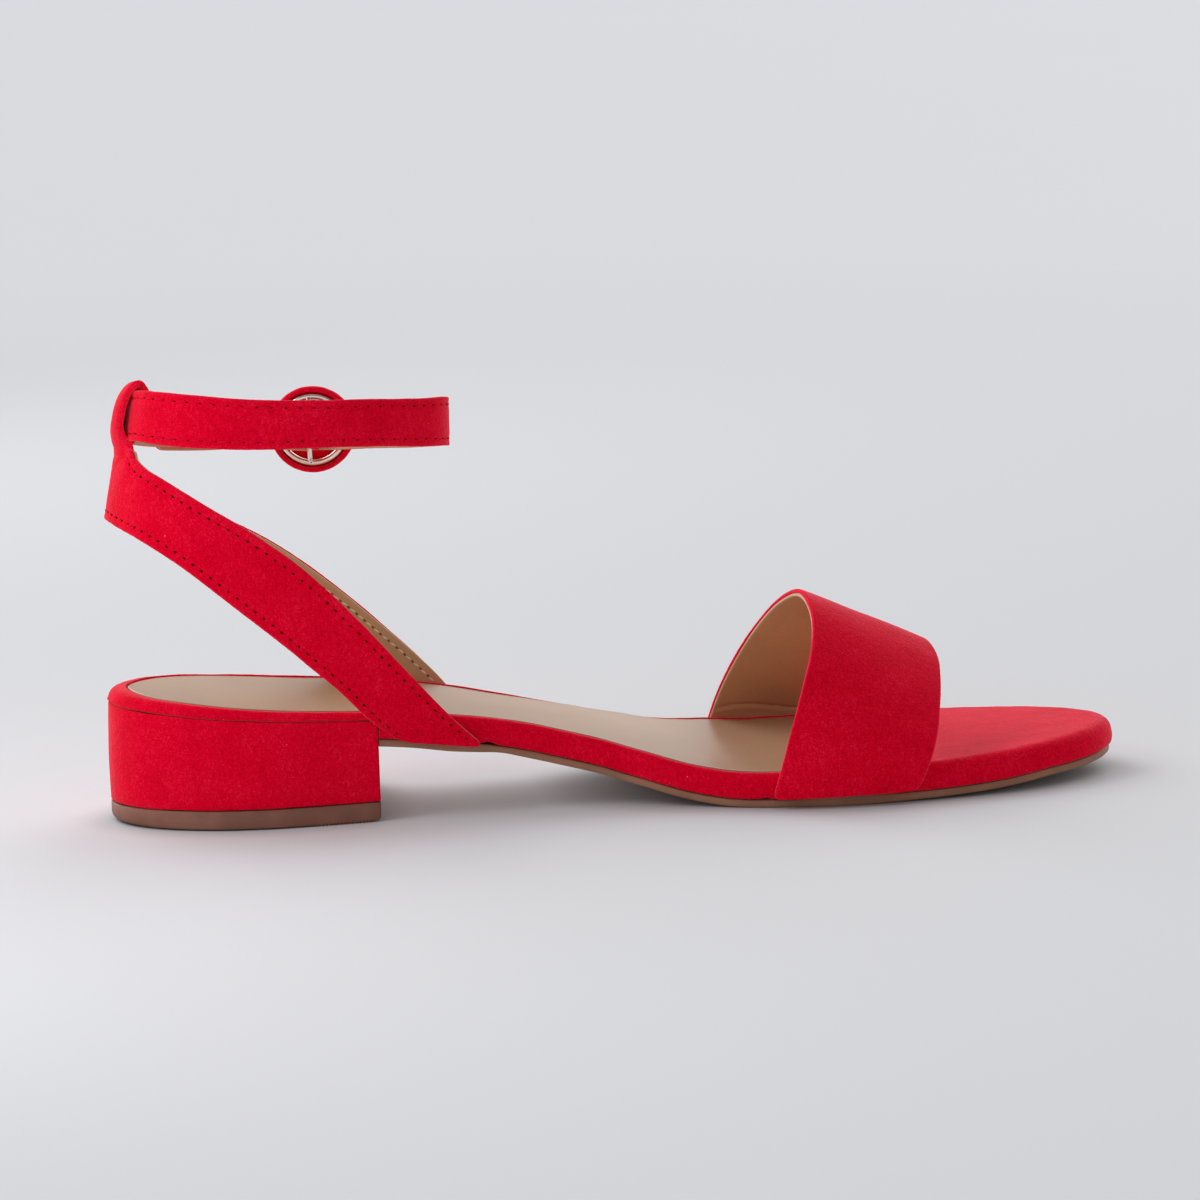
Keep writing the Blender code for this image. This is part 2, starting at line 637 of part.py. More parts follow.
def make_buckle(frame, turn):
    """Covered ring, metal ring with its bar, and prong."""
    lap = STRAP_THICK + FIT_GAP
    ring_out = lap + STRAP_THICK / 2 + FIT_GAP + FRAME_WIRE
    angles = np.arange(RING_STEPS) * math.tau / RING_STEPS
    spokes = np.stack([np.cos(angles), np.zeros(RING_STEPS), np.sin(angles)], axis=1)
    outward = np.array([0.0, 1.0, 0.0])

    back = ring_out + FRAME_WIRE + FIT_GAP
    skirt = FRAME_RADIUS + FRAME_WIRE + FIT_GAP
    shape = (
        (COVER_OPENING, back),
        (skirt, back),
        (skirt, ring_out - FRAME_WIRE),
        (COVER_RADIUS - 0.5 * MM, ring_out - FRAME_WIRE),
        (COVER_RADIUS, ring_out),
        (COVER_RADIUS - 0.2 * MM, back + 0.4 * MM),
        (COVER_RADIUS - 1.0 * MM, back + 1.3 * MM),
        (COVER_RADIUS - 2.0 * MM, back + 1.6 * MM),
        (COVER_OPENING + 0.9 * MM, back + 1.3 * MM),
        (COVER_OPENING + 0.2 * MM, back + 0.6 * MM),
    )
    rings = np.stack([spokes * radius + outward * out for radius, out in shape], axis=1)
    cover = build_mesh("buckle_cover", SUEDE, frame.place(rings), closed=True)

    circle = spokes * FRAME_RADIUS + outward * ring_out
    metal = build_mesh(
        "buckle_frame", NICKEL, frame.place(wire_sections(circle, FRAME_WIRE, closed=True)), closed=True
    )
    leg = ANKLE_RING[0].width * MM / 2 + FIT_GAP + BAR_WIRE
    bend = 0.7 * MM
    half_bar = [
        (-BAR_BACK, ring_out, FRAME_RADIUS - 0.1 * MM),
        (-BAR_BACK, ring_out - 1.0 * MM, leg + 0.6 * MM),
        (-BAR_BACK, ring_out - 2.2 * MM, leg + 0.2 * MM),
        (-BAR_BACK, bend - turn, leg + 0.1 * MM),
        (-BAR_BACK, 0.25 * bend - turn, leg - 0.2 * MM),
        (-BAR_BACK, -turn, leg - bend),
    ]
    bar_line = half_bar + [(a, b, -c) for a, b, c in reversed(half_bar)]
    bar = build_mesh("bar_wire", None, frame.place(wire_sections(bar_line, BAR_WIRE)))
    joined(metal, bar, "UNION")

    prong_out = lap + STRAP_THICK / 2 + FIT_GAP + PRONG_WIRE
    tip = FRAME_RADIUS - FRAME_WIRE - FIT_GAP
    prong_line = [
        (0.0, lap - 0.3 * MM, 0.0),
        (0.0, prong_out - 0.6 * MM, 0.0),
        (0.6 * MM, prong_out, 0.0),
        (tip * 0.6, prong_out + 0.2 * MM, 0.0),
        (tip, prong_out + 0.1 * MM, 0.0),
    ]
    prong = build_mesh("buckle_prong", NICKEL, frame.place(wire_sections(prong_line, PRONG_WIRE)))
    return [cover, metal, prong]


def stand_on_origin(pieces):
    """Hang the pieces on one empty, so the shoe's middle stands over the origin on the floor."""
    points = np.array([vert.co for piece in pieces for vert in piece.data.vertices])
    middle = (points.min(axis=0) + points.max(axis=0)) / 2
    shoe = bpy.data.objects.new("dress_sandal", None)
    bpy.context.scene.collection.objects.link(shoe)
    shoe.location = (-middle[0], -middle[1], -points[:, 2].min())
    for item in list(bpy.context.scene.collection.objects):
        if item is not shoe:
            item.parent = shoe
    return shoe


def main():
    """Build the whole shoe."""
    for old in list(bpy.data.objects):
        bpy.data.objects.remove(old)
    pieces = make_sole()
    pieces.append(make_vamp())
    pieces.append(make_sling())
    ring = through(np.array(ANKLE_RING) * MM, RING_STEPS * 2, closed=True)
    frame = BuckleFrame(ring[0, :3])
    strap, turn = make_ankle(ring, frame)
    pieces.append(strap)
    pieces += make_buckle(frame, turn)
    stand_on_origin(pieces)


main()
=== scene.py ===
"""Looks of a low block-heel sandal with an ankle strap, left shoe.

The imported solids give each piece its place. Here the straps get their suede, lining and thread,
the sole its wrap, sock and rubber, and the buckle its metal. Tables are in millimetres from the
back of the heel, the sole's middle and the floor; meshes are in metres.
"""

import logging
import math
from dataclasses import dataclass, field
from enum import Enum
from typing import Any, Callable, NamedTuple, Sequence, Union

import bmesh
import bpy
import numpy as np
from mathutils import Matrix, Vector, noise

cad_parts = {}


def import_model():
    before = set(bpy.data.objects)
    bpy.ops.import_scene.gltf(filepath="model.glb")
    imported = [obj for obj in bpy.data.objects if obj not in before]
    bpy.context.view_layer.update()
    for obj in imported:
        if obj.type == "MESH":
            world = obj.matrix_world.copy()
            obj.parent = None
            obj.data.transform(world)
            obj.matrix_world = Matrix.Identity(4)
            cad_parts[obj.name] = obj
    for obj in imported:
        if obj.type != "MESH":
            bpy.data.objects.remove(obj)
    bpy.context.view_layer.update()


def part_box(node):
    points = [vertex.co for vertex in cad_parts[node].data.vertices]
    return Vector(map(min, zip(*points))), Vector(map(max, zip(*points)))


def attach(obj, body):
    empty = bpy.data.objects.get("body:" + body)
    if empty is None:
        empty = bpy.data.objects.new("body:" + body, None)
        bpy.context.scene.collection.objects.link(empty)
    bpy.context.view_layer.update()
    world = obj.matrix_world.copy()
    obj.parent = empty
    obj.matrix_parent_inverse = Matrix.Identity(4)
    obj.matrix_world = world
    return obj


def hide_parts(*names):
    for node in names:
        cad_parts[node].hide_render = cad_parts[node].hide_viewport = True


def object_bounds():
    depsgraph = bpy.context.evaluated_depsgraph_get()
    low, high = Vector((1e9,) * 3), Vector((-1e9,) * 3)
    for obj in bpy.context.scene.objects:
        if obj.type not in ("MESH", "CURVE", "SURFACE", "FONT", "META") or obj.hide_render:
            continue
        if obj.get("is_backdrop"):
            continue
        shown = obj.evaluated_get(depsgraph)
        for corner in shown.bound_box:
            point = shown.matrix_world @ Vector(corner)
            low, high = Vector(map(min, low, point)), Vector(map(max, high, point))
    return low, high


Points = np.ndarray
Colour = tuple[float, float, float]
Sizes = Union[float, Points]
SizeAt = Callable[[Points], Sizes]
SizeOrAt = Union[float, SizeAt]

MM = 0.001
FIT_GAP = 0.3 * MM
CURVE_SAMPLES = 3000
OUTLINE_SAMPLES = 2000
MERGE_REACH = 2e-6
SLIVER = 1e-6
FLAT_RING = 1e-5
SHARP_ANGLE = math.radians(50)
WIRE_SIDES = 16
STITCH_SEED = 7
BEAD_SIDES = 8
BEAD_RINGS = 6
BLACK = (0.0, 0.0, 0.0)
BODY = "root"
SEAM_NORMAL = "seam_normal"
RIB_LENGTH = "rib_length"
EDGE_MARK = "edge"

log = logging.getLogger("dress_sandal")


class Slot(Enum):
    """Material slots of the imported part."""

    SUEDE = "red_suede"
    LINING = "tan_lining"
    RUBBER = "brown_rubber"
    METAL = "nickel"


class Side(Enum):
    """Sides of the foot, with the sign of Y there."""

    INNER = -1
    OUTER = 1


class Face(Enum):
    """The two faces of a strap, with the sign of its outward normal."""

    SUEDE = 1
    LINING = -1


class Plan(NamedTuple):
    """Sole plan at a station."""

    station: float
    centre: float
    half_width: float


class Profile(NamedTuple):
    """Height of the midsole's top edge at a station, and how much higher its outer side is."""

    station: float
    rim: float
    rise: float = 0.0


class Wall(NamedTuple):
    """Wall over the heel seat, wall ahead of it, outsole thickness and top rounding at a station."""

    station: float
    seat: float
    whole: float
    tread: float
    top_round: float


class Edge(NamedTuple):
    """Lower or back edge and upper or front edge of a strap where a line crosses it, and its bulge."""

    lower_x: float
    lower_y: float
    lower_z: float
    upper_x: float
    upper_y: float
    upper_z: float
    bulge: float = 0.0


class Fold(NamedTuple):
    """Middle, half width and turn in degrees of the loop's strip."""

    x: float
    z: float
    half_width: float
    turn: float


class Path(NamedTuple):
    """Middle, lean and width of the ankle strap."""

    x: float
    y: float
    z: float
    lean: float
    width: float


SOLE_PLAN = (
    Plan(0, -0.4, 29.0),
    Plan(40, 0.9, 29.0),
    Plan(70, 2.5, 27.4),
    Plan(100, 5.0, 24.6),
    Plan(120, 5.6, 27.0),
    Plan(142, 4.6, 34.8),
    Plan(160, 3.6, 40.4),
    Plan(178, 2.4, 42.0),
    Plan(200, 0.8, 42.0),
    Plan(225, -1.8, 42.0),
    Plan(250, -4.0, 42.0),
)
SOLE_PROFILE = (
    Profile(0, 33.0),
    Profile(15, 31.7),
    Profile(30, 30.1),
    Profile(45, 28.7),
    Profile(65, 27.2),
    Profile(85, 24.6, -0.2),
    Profile(100, 21.65, -0.6),
    Profile(110, 19.0, -0.5),
    Profile(120, 16.3, -0.5),
    Profile(125, 14.6, -0.2),
    Profile(130, 13.1),
    Profile(135, 11.6, 0.15),
    Profile(140, 10.35, 0.45),
    Profile(145, 9.4, 0.8),
    Profile(150, 8.8, 0.95),
    Profile(157, 8.6, 0.5),
    Profile(165, 8.6),
    Profile(179, 8.6),
    Profile(200, 9.4),
    Profile(225, 10.8),
    Profile(235, 11.55),
    Profile(243, 12.1),
    Profile(250, 12.7),
)
SOLE_WALL = (
    Wall(0, 3.4, 6.4, 1.3, 3.0),
    Wall(12, 3.14, 6.4, 1.3, 1.6),
    Wall(65, 2.0, 6.4, 1.8, 1.6),
    Wall(95, 2.0, 6.4, 1.9, 1.6),
    Wall(163, 2.0, 6.4, 1.9, 1.6),
    Wall(170, 2.0, 5.9, 2.4, 1.6),
    Wall(179, 2.0, 5.4, 2.9, 1.6),
    Wall(185, 2.0, 5.7, 2.6, 1.6),
    Wall(190, 2.0, 6.2, 2.1, 1.8),
    Wall(200, 2.0, 6.6, 1.9, 2.6),
    Wall(213, 2.0, 6.7, 1.9, 3.4),
    Wall(225, 2.0, 6.4, 1.9, 3.4),
    Wall(230, 2.0, 6.2, 1.9, 3.4),
    Wall(238, 2.0, 6.3, 1.9, 3.4),
    Wall(250, 2.0, 6.1, 1.9, 3.4),
)
VAMP_EDGES = (
    Edge(159.3, -39.1, 2.5, 195.0, -41.5, 3.3, 1.9),
    Edge(161.75, -39.3, 10.5, 197.8, -41.0, 9.0, 1.8),
    Edge(164.95, -38.2, 20.5, 200.6, -37.6, 15.6, 1.2),
    Edge(168.6, -34.4, 30.0, 202.85, -30.4, 21.8, 0.6),
    Edge(172.1, -27.0, 38.4, 204.7, -21.5, 27.2, 0.3),
    Edge(173.7, -16.5, 45.5, 205.6, -12.0, 31.5, 0.15),
    Edge(172.6, -4.0, 48.7, 204.2, -3.0, 34.2, 0.15),
    Edge(168.9, 9.0, 44.8, 201.2, 8.5, 32.4, 0.25),
    Edge(164.2, 21.0, 36.4, 197.4, 19.5, 27.0, 0.2),
    Edge(159.8, 32.4, 26.0, 192.6, 31.0, 19.8, 0.4),
    Edge(156.45, 41.4, 16.2, 188.4, 41.6, 13.0, 1.0),
    Edge(154.4, 44.6, 9.4, 186.0, 46.0, 8.4, 1.6),
    Edge(152.6, 44.6, 2.6, 184.4, 46.2, 2.4, 1.8),
)
SLING_EDGES = (
    Edge(70.0, -27.4, 20.0, 91.0, -24.0, 16.9),
    Edge(62.9, -28.4, 25.8, 82.8, -25.6, 25.2),
    Edge(55.5, -29.2, 33.6, 72.0, -27.6, 37.8),
    Edge(46.5, -29.6, 42.0, 61.5, -28.7, 50.2),
    Edge(36.5, -29.4, 50.9, 49.5, -28.9, 62.8),
    Edge(27.0, -27.6, 58.8, 37.3, -27.9, 72.6),
    Edge(18.0, -24.0, 66.0, 25.3, -24.6, 80.2),
    Edge(9.6, -17.4, 71.3, 15.2, -18.0, 86.5),
    Edge(6.0, -12.6, 73.0, 11.3, -14.2, 88.65),
    Edge(4.0, -9.0, 73.8, 9.0, -10.8, 90.7),
    Edge(2.7, -6.0, 74.35, 8.1, -9.0, 92.9),
    Edge(1.7, -3.0, 74.7, 6.4, -5.0, 93.0),
    Edge(1.3, 0.3, 74.8, 4.9, 0.2, 92.6),
    Edge(1.9, 3.6, 74.7, 6.4, 5.0, 92.0),
    Edge(3.0, 6.8, 74.1, 8.8, 9.4, 90.6),
    Edge(4.3, 9.8, 73.1, 9.4, 11.0, 87.6),
    Edge(6.0, 13.0, 71.7, 11.8, 14.6, 84.4),
    Edge(10.0, 18.2, 67.6, 16.6, 19.6, 79.8),
    Edge(19.6, 25.2, 59.4, 30.0, 26.6, 71.2),
    Edge(30.8, 29.4, 50.8, 44.0, 29.6, 62.8),
    Edge(43.0, 31.4, 41.4, 58.0, 31.2, 51.8),
    Edge(54.5, 32.2, 31.8, 71.5, 32.2, 39.2),
    Edge(62.8, 32.4, 24.8, 84.0, 32.6, 26.2),
    Edge(66.5, 32.4, 20.2, 91.0, 32.6, 16.8),
)
LOOP_FOLDS = (
    Fold(4.4, 88.6, 8.5, 0),
    Fold(4.6, 91.0, 8.1, 0),
    Fold(4.62, 92.3, 7.8, 0),
    Fold(4.4, 93.2, 7.2, -1),
    Fold(4.15, 94.5, 6.7, -2),
    Fold(4.0, 96.2, 6.4, -3),
    Fold(4.15, 98.0, 6.2, -4),
    Fold(4.5, 99.6, 6.2, -4),
    Fold(5.1, 102.0, 6.2, -4),
    Fold(6.1, 104.6, 6.2, -4),
    Fold(6.9, 105.9, 6.2, -4),
    Fold(8.0, 107.2, 6.2, -4),
    Fold(9.3, 108.1, 6.2, -4),
    Fold(10.6, 108.2, 6.2, -4),
    Fold(11.6, 107.5, 6.1, -4),
    Fold(12.2, 106.4, 6.0, -4),
    Fold(12.4, 105.0, 5.9, -4),
    Fold(12.3, 103.4, 5.7, -4),
    Fold(12.0, 101.2, 5.4, -4),
    Fold(11.4, 98.4, 5.0, -3),
    Fold(10.7, 95.8, 4.7, -2),
    Fold(10.0, 94.5, 4.6, 0),
    Fold(8.9, 93.4, 4.6, 0),
    Fold(7.8, 92.6, 4.6, 0),
    Fold(7.3, 91.4, 4.6, 0),
    Fold(7.0, 90.2, 4.6, 0),
    Fold(6.9, 89.0, 4.6, 0),
)
ANKLE_RING = (
    Path(54.95, 28.0, 90.9, 0.0, 11.2),
    Path(67.2, 24.6, 91.6, 0.0, 11.6),
    Path(77.4, 17.4, 92.4, 0.0, 12.0),
    Path(84.2, 9.2, 93.5, 0.02, 12.0),
    Path(86.65, 1.2, 94.5, 0.02, 12.0),
    Path(84.8, -5.8, 95.5, 0.02, 12.0),
    Path(78.2, -13.2, 96.4, 0.0, 11.7),
    Path(67.5, -20.6, 97.8, 0.0, 11.6),
    Path(54.0, -25.4, 98.75, 0.0, 11.6),
    Path(38.0, -26.6, 99.55, 0.0, 12.2),
    Path(24.0, -22.8, 100.55, 0.08, 12.8),
    Path(15.4, -16.4, 101.05, 0.14, 12.8),
    Path(10.9, -9.4, 101.0, 0.18, 12.4),
    Path(8.6, 0.0, 99.5, 0.2, 12.0),
    Path(10.0, 9.6, 97.7, 0.18, 12.0),
    Path(16.0, 19.6, 95.5, 0.1, 12.0),
    Path(27.0, 26.6, 93.9, 0.0, 12.0),
    Path(41.0, 28.6, 92.5, 0.0, 11.2),
)


def unit(vectors: Points) -> Points:
    """Vectors scaled to length one."""
    return vectors / np.linalg.norm(vectors, axis=-1, keepdims=True)


def run_of(line: Points) -> Points:
    """Length along a line of points, at each of them."""
    steps = np.linalg.norm(np.diff(line, axis=0), axis=1)
    return np.concatenate(([0.0], np.cumsum(steps)))


def cubic(points: Points, knots: Points, slopes: Points, at: Points) -> Points:
    """Points of the cubic through given points with given slopes.

    Args:
        points: the points that it passes, a row each.
        knots: the parameter at each of them.
        slopes: the derivative at each of them.
        at: the parameters wanted.

    Returns:
        A row for each wanted parameter.
    """
    i = np.clip(np.searchsorted(knots, at, side="right") - 1, 0, len(knots) - 2)
    step = (knots[i + 1] - knots[i])[:, None]
    t = (at - knots[i])[:, None] / step
    start = points[i] * (1 + 2 * t) * (1 - t) ** 2 + slopes[i] * step * t * (1 - t) ** 2
    end = points[i + 1] * t * t * (3 - 2 * t) + slopes[i + 1] * step * t * t * (t - 1)
    return start + end


def through(points: Points, count: int, closed: bool = False) -> Points:
    """Points evenly spaced along a smooth curve.

    Args:
        points: what the curve passes; columns past the third ride along.
        count: how many points are wanted.
        closed: whether the curve runs back to its start.

    Returns:
        An array of count rows.
    """
    points = np.asarray(points, float)
    if closed:
        points = np.vstack([points[-2:], points, points[:3]])
    gaps = np.linalg.norm(np.diff(points, axis=0), axis=1) ** 0.5
    knots = np.concatenate(([0.0], np.cumsum(gaps)))
    slopes = np.gradient(points, knots, axis=0)
    first, last = (knots[2], knots[-3]) if closed else (knots[0], knots[-1])
    dense = cubic(points, knots, slopes, np.linspace(first, last, CURVE_SAMPLES))
    run = run_of(dense[:, :3])
    wanted = np.linspace(0.0, run[-1], count, endpoint=not closed)
    return np.stack([np.interp(wanted, run, dense[:, k]) for k in range(dense.shape[1])], axis=1)


def bell(distance: Points, width: float) -> Points:
    """A soft hump of height one."""
    return np.exp(-((distance / width) ** 2))


class Hump(NamedTuple):
    """A soft hump along a piece: its place, its reach and its height."""

    station: float
    reach: float
    height: float

    def at(self, x: Points) -> Points:
        """Its height at stations."""
        return self.height * bell(x - self.station, self.reach)


def quarter(radius: float, *degrees: float) -> list[tuple[float, float]]:
    """Inset and drop of points on a rounded edge, from 0 at its side to 90 on its face."""
    angles = np.radians(degrees)
    return [(radius * (1 - math.cos(angle)), radius * (1 - math.sin(angle))) for angle in angles]


def size_at(size: SizeOrAt, x: Points) -> Sizes:
    """A size at stations, whether it is fixed or changes along the sole."""
    return size(x) if callable(size) else size


def placed(name: str, data: Any) -> bpy.types.Object:
    """A new object in the scene.

    Args:
        name: its name.
        data: its mesh, light or camera.

    Returns:
        The object.
    """
    made = bpy.data.objects.new(name, data)
    bpy.context.scene.collection.objects.link(made)
    return made


class Flow:
    """A smooth function of station through one column of a table."""

    def __init__(self, table: Sequence[NamedTuple], column: str) -> None:
        """Set the slopes so that the curve never overshoots its rows.

        Args:
            table: rows with a station.
            column: the column that is read.
        """
        self.knots = np.array([row.station for row in table]) * MM
        self.values = np.array([[getattr(row, column)] for row in table]) * MM
        rises = np.diff(self.values[:, 0]) / np.diff(self.knots)
        self.slopes = np.zeros_like(self.values)
        self.slopes[0], self.slopes[-1] = rises[0], rises[-1]
        for i in range(1, len(table) - 1):
            before, after = rises[i - 1], rises[i]
            if before * after > 0:
                self.slopes[i] = 2 * before * after / (before + after)

    def __call__(self, station: Points) -> Points:
        """Values at the stations."""
        inside = np.clip(station, self.knots[0], self.knots[-1])
        return cubic(self.values, self.knots, self.slopes, inside)[:, 0]


class Value:
    """A number that changes over a surface; arithmetic on it adds Math nodes."""

    def __init__(self, graph: "Graph", socket: bpy.types.NodeSocket) -> None:
        """Wrap one output socket."""
        self.graph = graph
        self.socket = socket

    def _math(self, operation: str, first: Any, second: Any) -> "Value":
        """One Math node."""
        return self.graph.value("ShaderNodeMath", {0: first, 1: second}, operation=operation)

    def __add__(self, other: Any) -> "Value":
        """Sum."""
        return self._math("ADD", self, other)

    __radd__ = __add__

    def __rsub__(self, other: Any) -> "Value":
        """Difference from a number."""
        return self._math("SUBTRACT", other, self)

    def __mul__(self, other: Any) -> "Value":
        """Product."""
        return self._math("MULTIPLY", self, other)

    __rmul__ = __mul__

    def ramp(self, low: float, high: float) -> "Value":
        """A soft step from 0 at low to 1 at high."""
        sockets = {"Value": self, "From Min": low, "From Max": high}
        return self.graph.value("ShaderNodeMapRange", sockets, interpolation_type="SMOOTHSTEP")


class Graph:
    """Adds nodes to a tree, whether of a material, of the world or of geometry."""

    def __init__(self, tree: bpy.types.NodeTree) -> None:
        """Work on a tree."""
        self.tree = tree

    @staticmethod
    def pick(sockets: Any, key: Union[int, str]) -> bpy.types.NodeSocket:
        """Find a socket.

        Args:
            sockets: a node's inputs or outputs.
            key: its place, identifier or name.

        Returns:
            The socket.
        """
        if isinstance(key, int):
            return sockets[key]
        for socket in sockets:
            if socket.identifier == key:
                return socket
        return sockets[key]

    def node(self, kind: str, settings: dict[str, Any], sockets: dict[Any, Any]) -> bpy.types.Node:
        """Add one node.

        Args:
            kind: the node's type.
            settings: its own options, set first.
            sockets: what each input gets: a Value, another node's socket or a plain value.

        Returns:
            The new node.
        """
        made = self.tree.nodes.new(kind)
        for name, value in settings.items():
            setattr(made, name, value)
        for key, value in sockets.items():
            socket = self.pick(made.inputs, key)
            if isinstance(value, Value):
                value = value.socket
            if isinstance(value, bpy.types.NodeSocket):
                self.tree.links.new(value, socket)
            else:
                socket.default_value = value
        return made

    def first(self, kind: str, sockets: dict[Any, Any], **settings: Any) -> bpy.types.NodeSocket:
        """First output of a new node."""
        return self.node(kind, settings, sockets).outputs[0]

    def value(self, kind: str, sockets: dict[Any, Any], **settings: Any) -> Value:
        """First output of a new node, to calculate with."""
        return Value(self, self.first(kind, sockets, **settings))

    def surface(self) -> Any:
        """Input sockets of a material's surface."""
        return self.tree.nodes["Principled BSDF"].inputs

    def coordinates(self, stretch: Sequence[float] = (1.0, 1.0, 1.0)) -> bpy.types.NodeSocket:
        """Object coordinates.

        Args:
            stretch: scale along the axes.

        Returns:
            The coordinates' socket.
        """
        place = self.node("ShaderNodeTexCoord", {}, {})
        sockets = {"Vector": place.outputs["Object"], "Scale": tuple(stretch)}
        return self.first("ShaderNodeMapping", sockets)

    def grain(self, size: float, detail: float = 3.0, stretch: Sequence[float] = (1, 1, 1)) -> Value:
        """Soft noise from 0 to 1.

        Args:
            size: distance between its blotches.
            detail: how many finer layers it has.
            stretch: scale along the axes.

        Returns:
            The noise's value.
        """
        sockets = {"Vector": self.coordinates(stretch), "Scale": 1.0 / size, "Detail": detail}
        return self.value("ShaderNodeTexNoise", sockets, noise_dimensions="3D")

    def pores(self, size: float) -> Value:
        """Distance to the nearest of many scattered points, from 0 to about 1."""
        sockets = {"Vector": self.coordinates(), "Scale": 1.0 / size}
        return self.value("ShaderNodeTexVoronoi", sockets, feature="F1")

    def mark(self, name: str) -> Value:
        """One of a mesh's own attributes."""
        made = self.node("ShaderNodeAttribute", {"attribute_name": name}, {})
        return Value(self, made.outputs["Fac"])

    def blend(self, first: Any, second: Any, factor: Value) -> bpy.types.NodeSocket:
        """A colour between two colours."""
        sockets = {"Factor_Float": factor, "A_Color": self.rgba(first), "B_Color": self.rgba(second)}
        return self.pick(self.node("ShaderNodeMix", {"data_type": "RGBA"}, sockets).outputs, "Result_Color")

    @staticmethod
    def rgba(colour: Any) -> Any:
        """A plain colour with its alpha; a socket as it is."""
        return colour if isinstance(colour, bpy.types.NodeSocket) else (*colour, 1.0)

    def bump(self, height: Value, strength: float, distance: float) -> bpy.types.NodeSocket:
        """A normal roughened by a height."""
        return self.first("ShaderNodeBump", {"Height": height, "Strength": strength, "Distance": distance})


@dataclass(frozen=True)
class Finish:
    """A surface: its colour, how it takes the light and how rough it is."""

    name: str
    colour: Colour
    roughness: float
    swing: float = 0.0
    gloss: float = 0.5
    relief: float = 0.1 * MM
    relief_strength: float = 0.1

    def material(self) -> bpy.types.Material:
        """The material, made at its first use.

        Returns:
            A material with this finish's name.
        """
        found = bpy.data.materials.get(self.name)
        if found is not None:
            return found
        made = bpy.data.materials.new(self.name)
        made.use_nodes = True
        made.diffuse_color = (*self.colour, 1.0)
        self.paint(Graph(made.node_tree))
        return made

    def paint(self, graph: Graph) -> None:
        """Set the surface's sockets in the material's graph."""
        raise NotImplementedError

    def toned(self, share: float) -> Colour:
        """The colour, darker below a share of one and paler above it."""
        return tuple(share * channel for channel in self.colour)

    def lay(
        self,
        graph: Graph,
        colour: bpy.types.NodeSocket,
        height: Value | None = None,
        grain: Value | None = None,
    ) -> None:
        """Set colour, roughness, relief and gloss.

        Args:
            graph: the material's graph.
            colour: the surface's colour.
            height: its relief, from 0 to about 1.
            grain: what its roughness swings with, from 0 to 1.
        """
        surface, links = graph.surface(), graph.tree.links
        links.new(colour, surface["Base Color"])
        if grain is None:
            surface["Roughness"].default_value = self.roughness
        else:
            rough = self.roughness - self.swing / 2 + self.swing * grain
            links.new(rough.socket, surface["Roughness"])
        if height is not None:
            links.new(graph.bump(height, self.relief_strength, self.relief), surface["Normal"])
        surface["Specular IOR Level"].default_value = self.gloss


@dataclass(frozen=True)
class Suede(Finish):
    """Short nap: flecked colour, brushed streaks, edges paler as a painted highlight, and a few specks of
    lint.
    """

    gloss: float = 0.0
    relief: float = 0.30 * MM
    relief_strength: float = 0.55
    shade: Colour = (0.66, 0.0, 0.013)
    tip: Colour = (0.97, 0.020, 0.064)
    lint: Colour = (0.95, 0.42, 0.42)
    nap: float = 0.36 * MM
    brushing: float = 0.95 * MM
    streaks: tuple[float, float, float] = (1.15, 1.0, 0.75)
    cloud: float = 9 * MM
    speck: float = 5.5 * MM
    fleck_and_edge_highlight: float = 0.8
    lint_share: float = 0.45
    sheen: float = 0.32
    sheen_roughness: float = 0.36
    sheen_tint: Colour = (1.0, 0.62, 0.70)

    def paint(self, graph: Graph) -> None:
        """Nap, painted edge highlight, lint and sheen.

        Args:
            graph: the material's graph.
        """
        fibre = graph.grain(self.nap)
        brushed = graph.grain(self.brushing, stretch=self.streaks)
        tone = 0.55 * fibre + 0.25 * brushed + 0.20 * graph.grain(self.cloud)
        dark = graph.blend(self.shade, self.colour, tone.ramp(0.36, 0.53))
        flecked = graph.blend(dark, self.tip, tone.ramp(0.52, 0.66) * self.fleck_and_edge_highlight)
        # painted highlight: near a strap's turned edges the colour is lifted towards the fibre tips
        edge_highlighted = graph.blend(flecked, self.tip, graph.mark(EDGE_MARK) * fibre.ramp(0.3, 0.7) * self.fleck_and_edge_highlight)
        specks = (1.0 - graph.pores(self.speck).ramp(0.015, 0.04)) * brushed.ramp(0.48, 0.56)
        linty = graph.blend(edge_highlighted, self.lint, specks * self.lint_share)
        self.lay(graph, linty, 0.7 * fibre + 0.6 * brushed)
        surface = graph.surface()
        surface["Sheen Weight"].default_value = self.sheen
        surface["Sheen Roughness"].default_value = self.sheen_roughness
        surface["Sheen Tint"].default_value = (*self.sheen_tint, 1.0)


@dataclass(frozen=True)
class Leather(Finish):
    """Smooth lining leather: fine pores, faint clouds and an edge of another tone, the cut edge's own colour
    on the lining and painted shade on the sock.
    """

    swing: float = 0.12
    gloss: float = 0.30
    relief: float = 0.10 * MM
    relief_strength: float = 0.16
    cut_edge_and_gap_shade: Colour = (0.62, 0.40, 0.24)
    pore: float = 0.45 * MM
    fine: float = 0.9 * MM
    cloud: float = 16 * MM
    mottle: float = 0.06

    def paint(self, graph: Graph) -> None:
        """Pores, clouds and the edge tone, which on the sock is painted shade.

        Args:
            graph: the material's graph.
        """
        pore, fine = graph.pores(self.pore), graph.grain(self.fine)
        clouded = (0.55 * graph.grain(self.cloud) + 0.45 * fine).ramp(0.30, 0.70)
        body = graph.blend(self.toned(1 - self.mottle), self.toned(1 + self.mottle), clouded)
        # the edge tone: on the lining the cut edge's colour, on the sock painted shade along its gap to the
        # rim
        edged = graph.blend(body, self.cut_edge_and_gap_shade, graph.mark(EDGE_MARK))
        self.lay(graph, edged, 0.6 * pore + 0.4 * fine, fine)


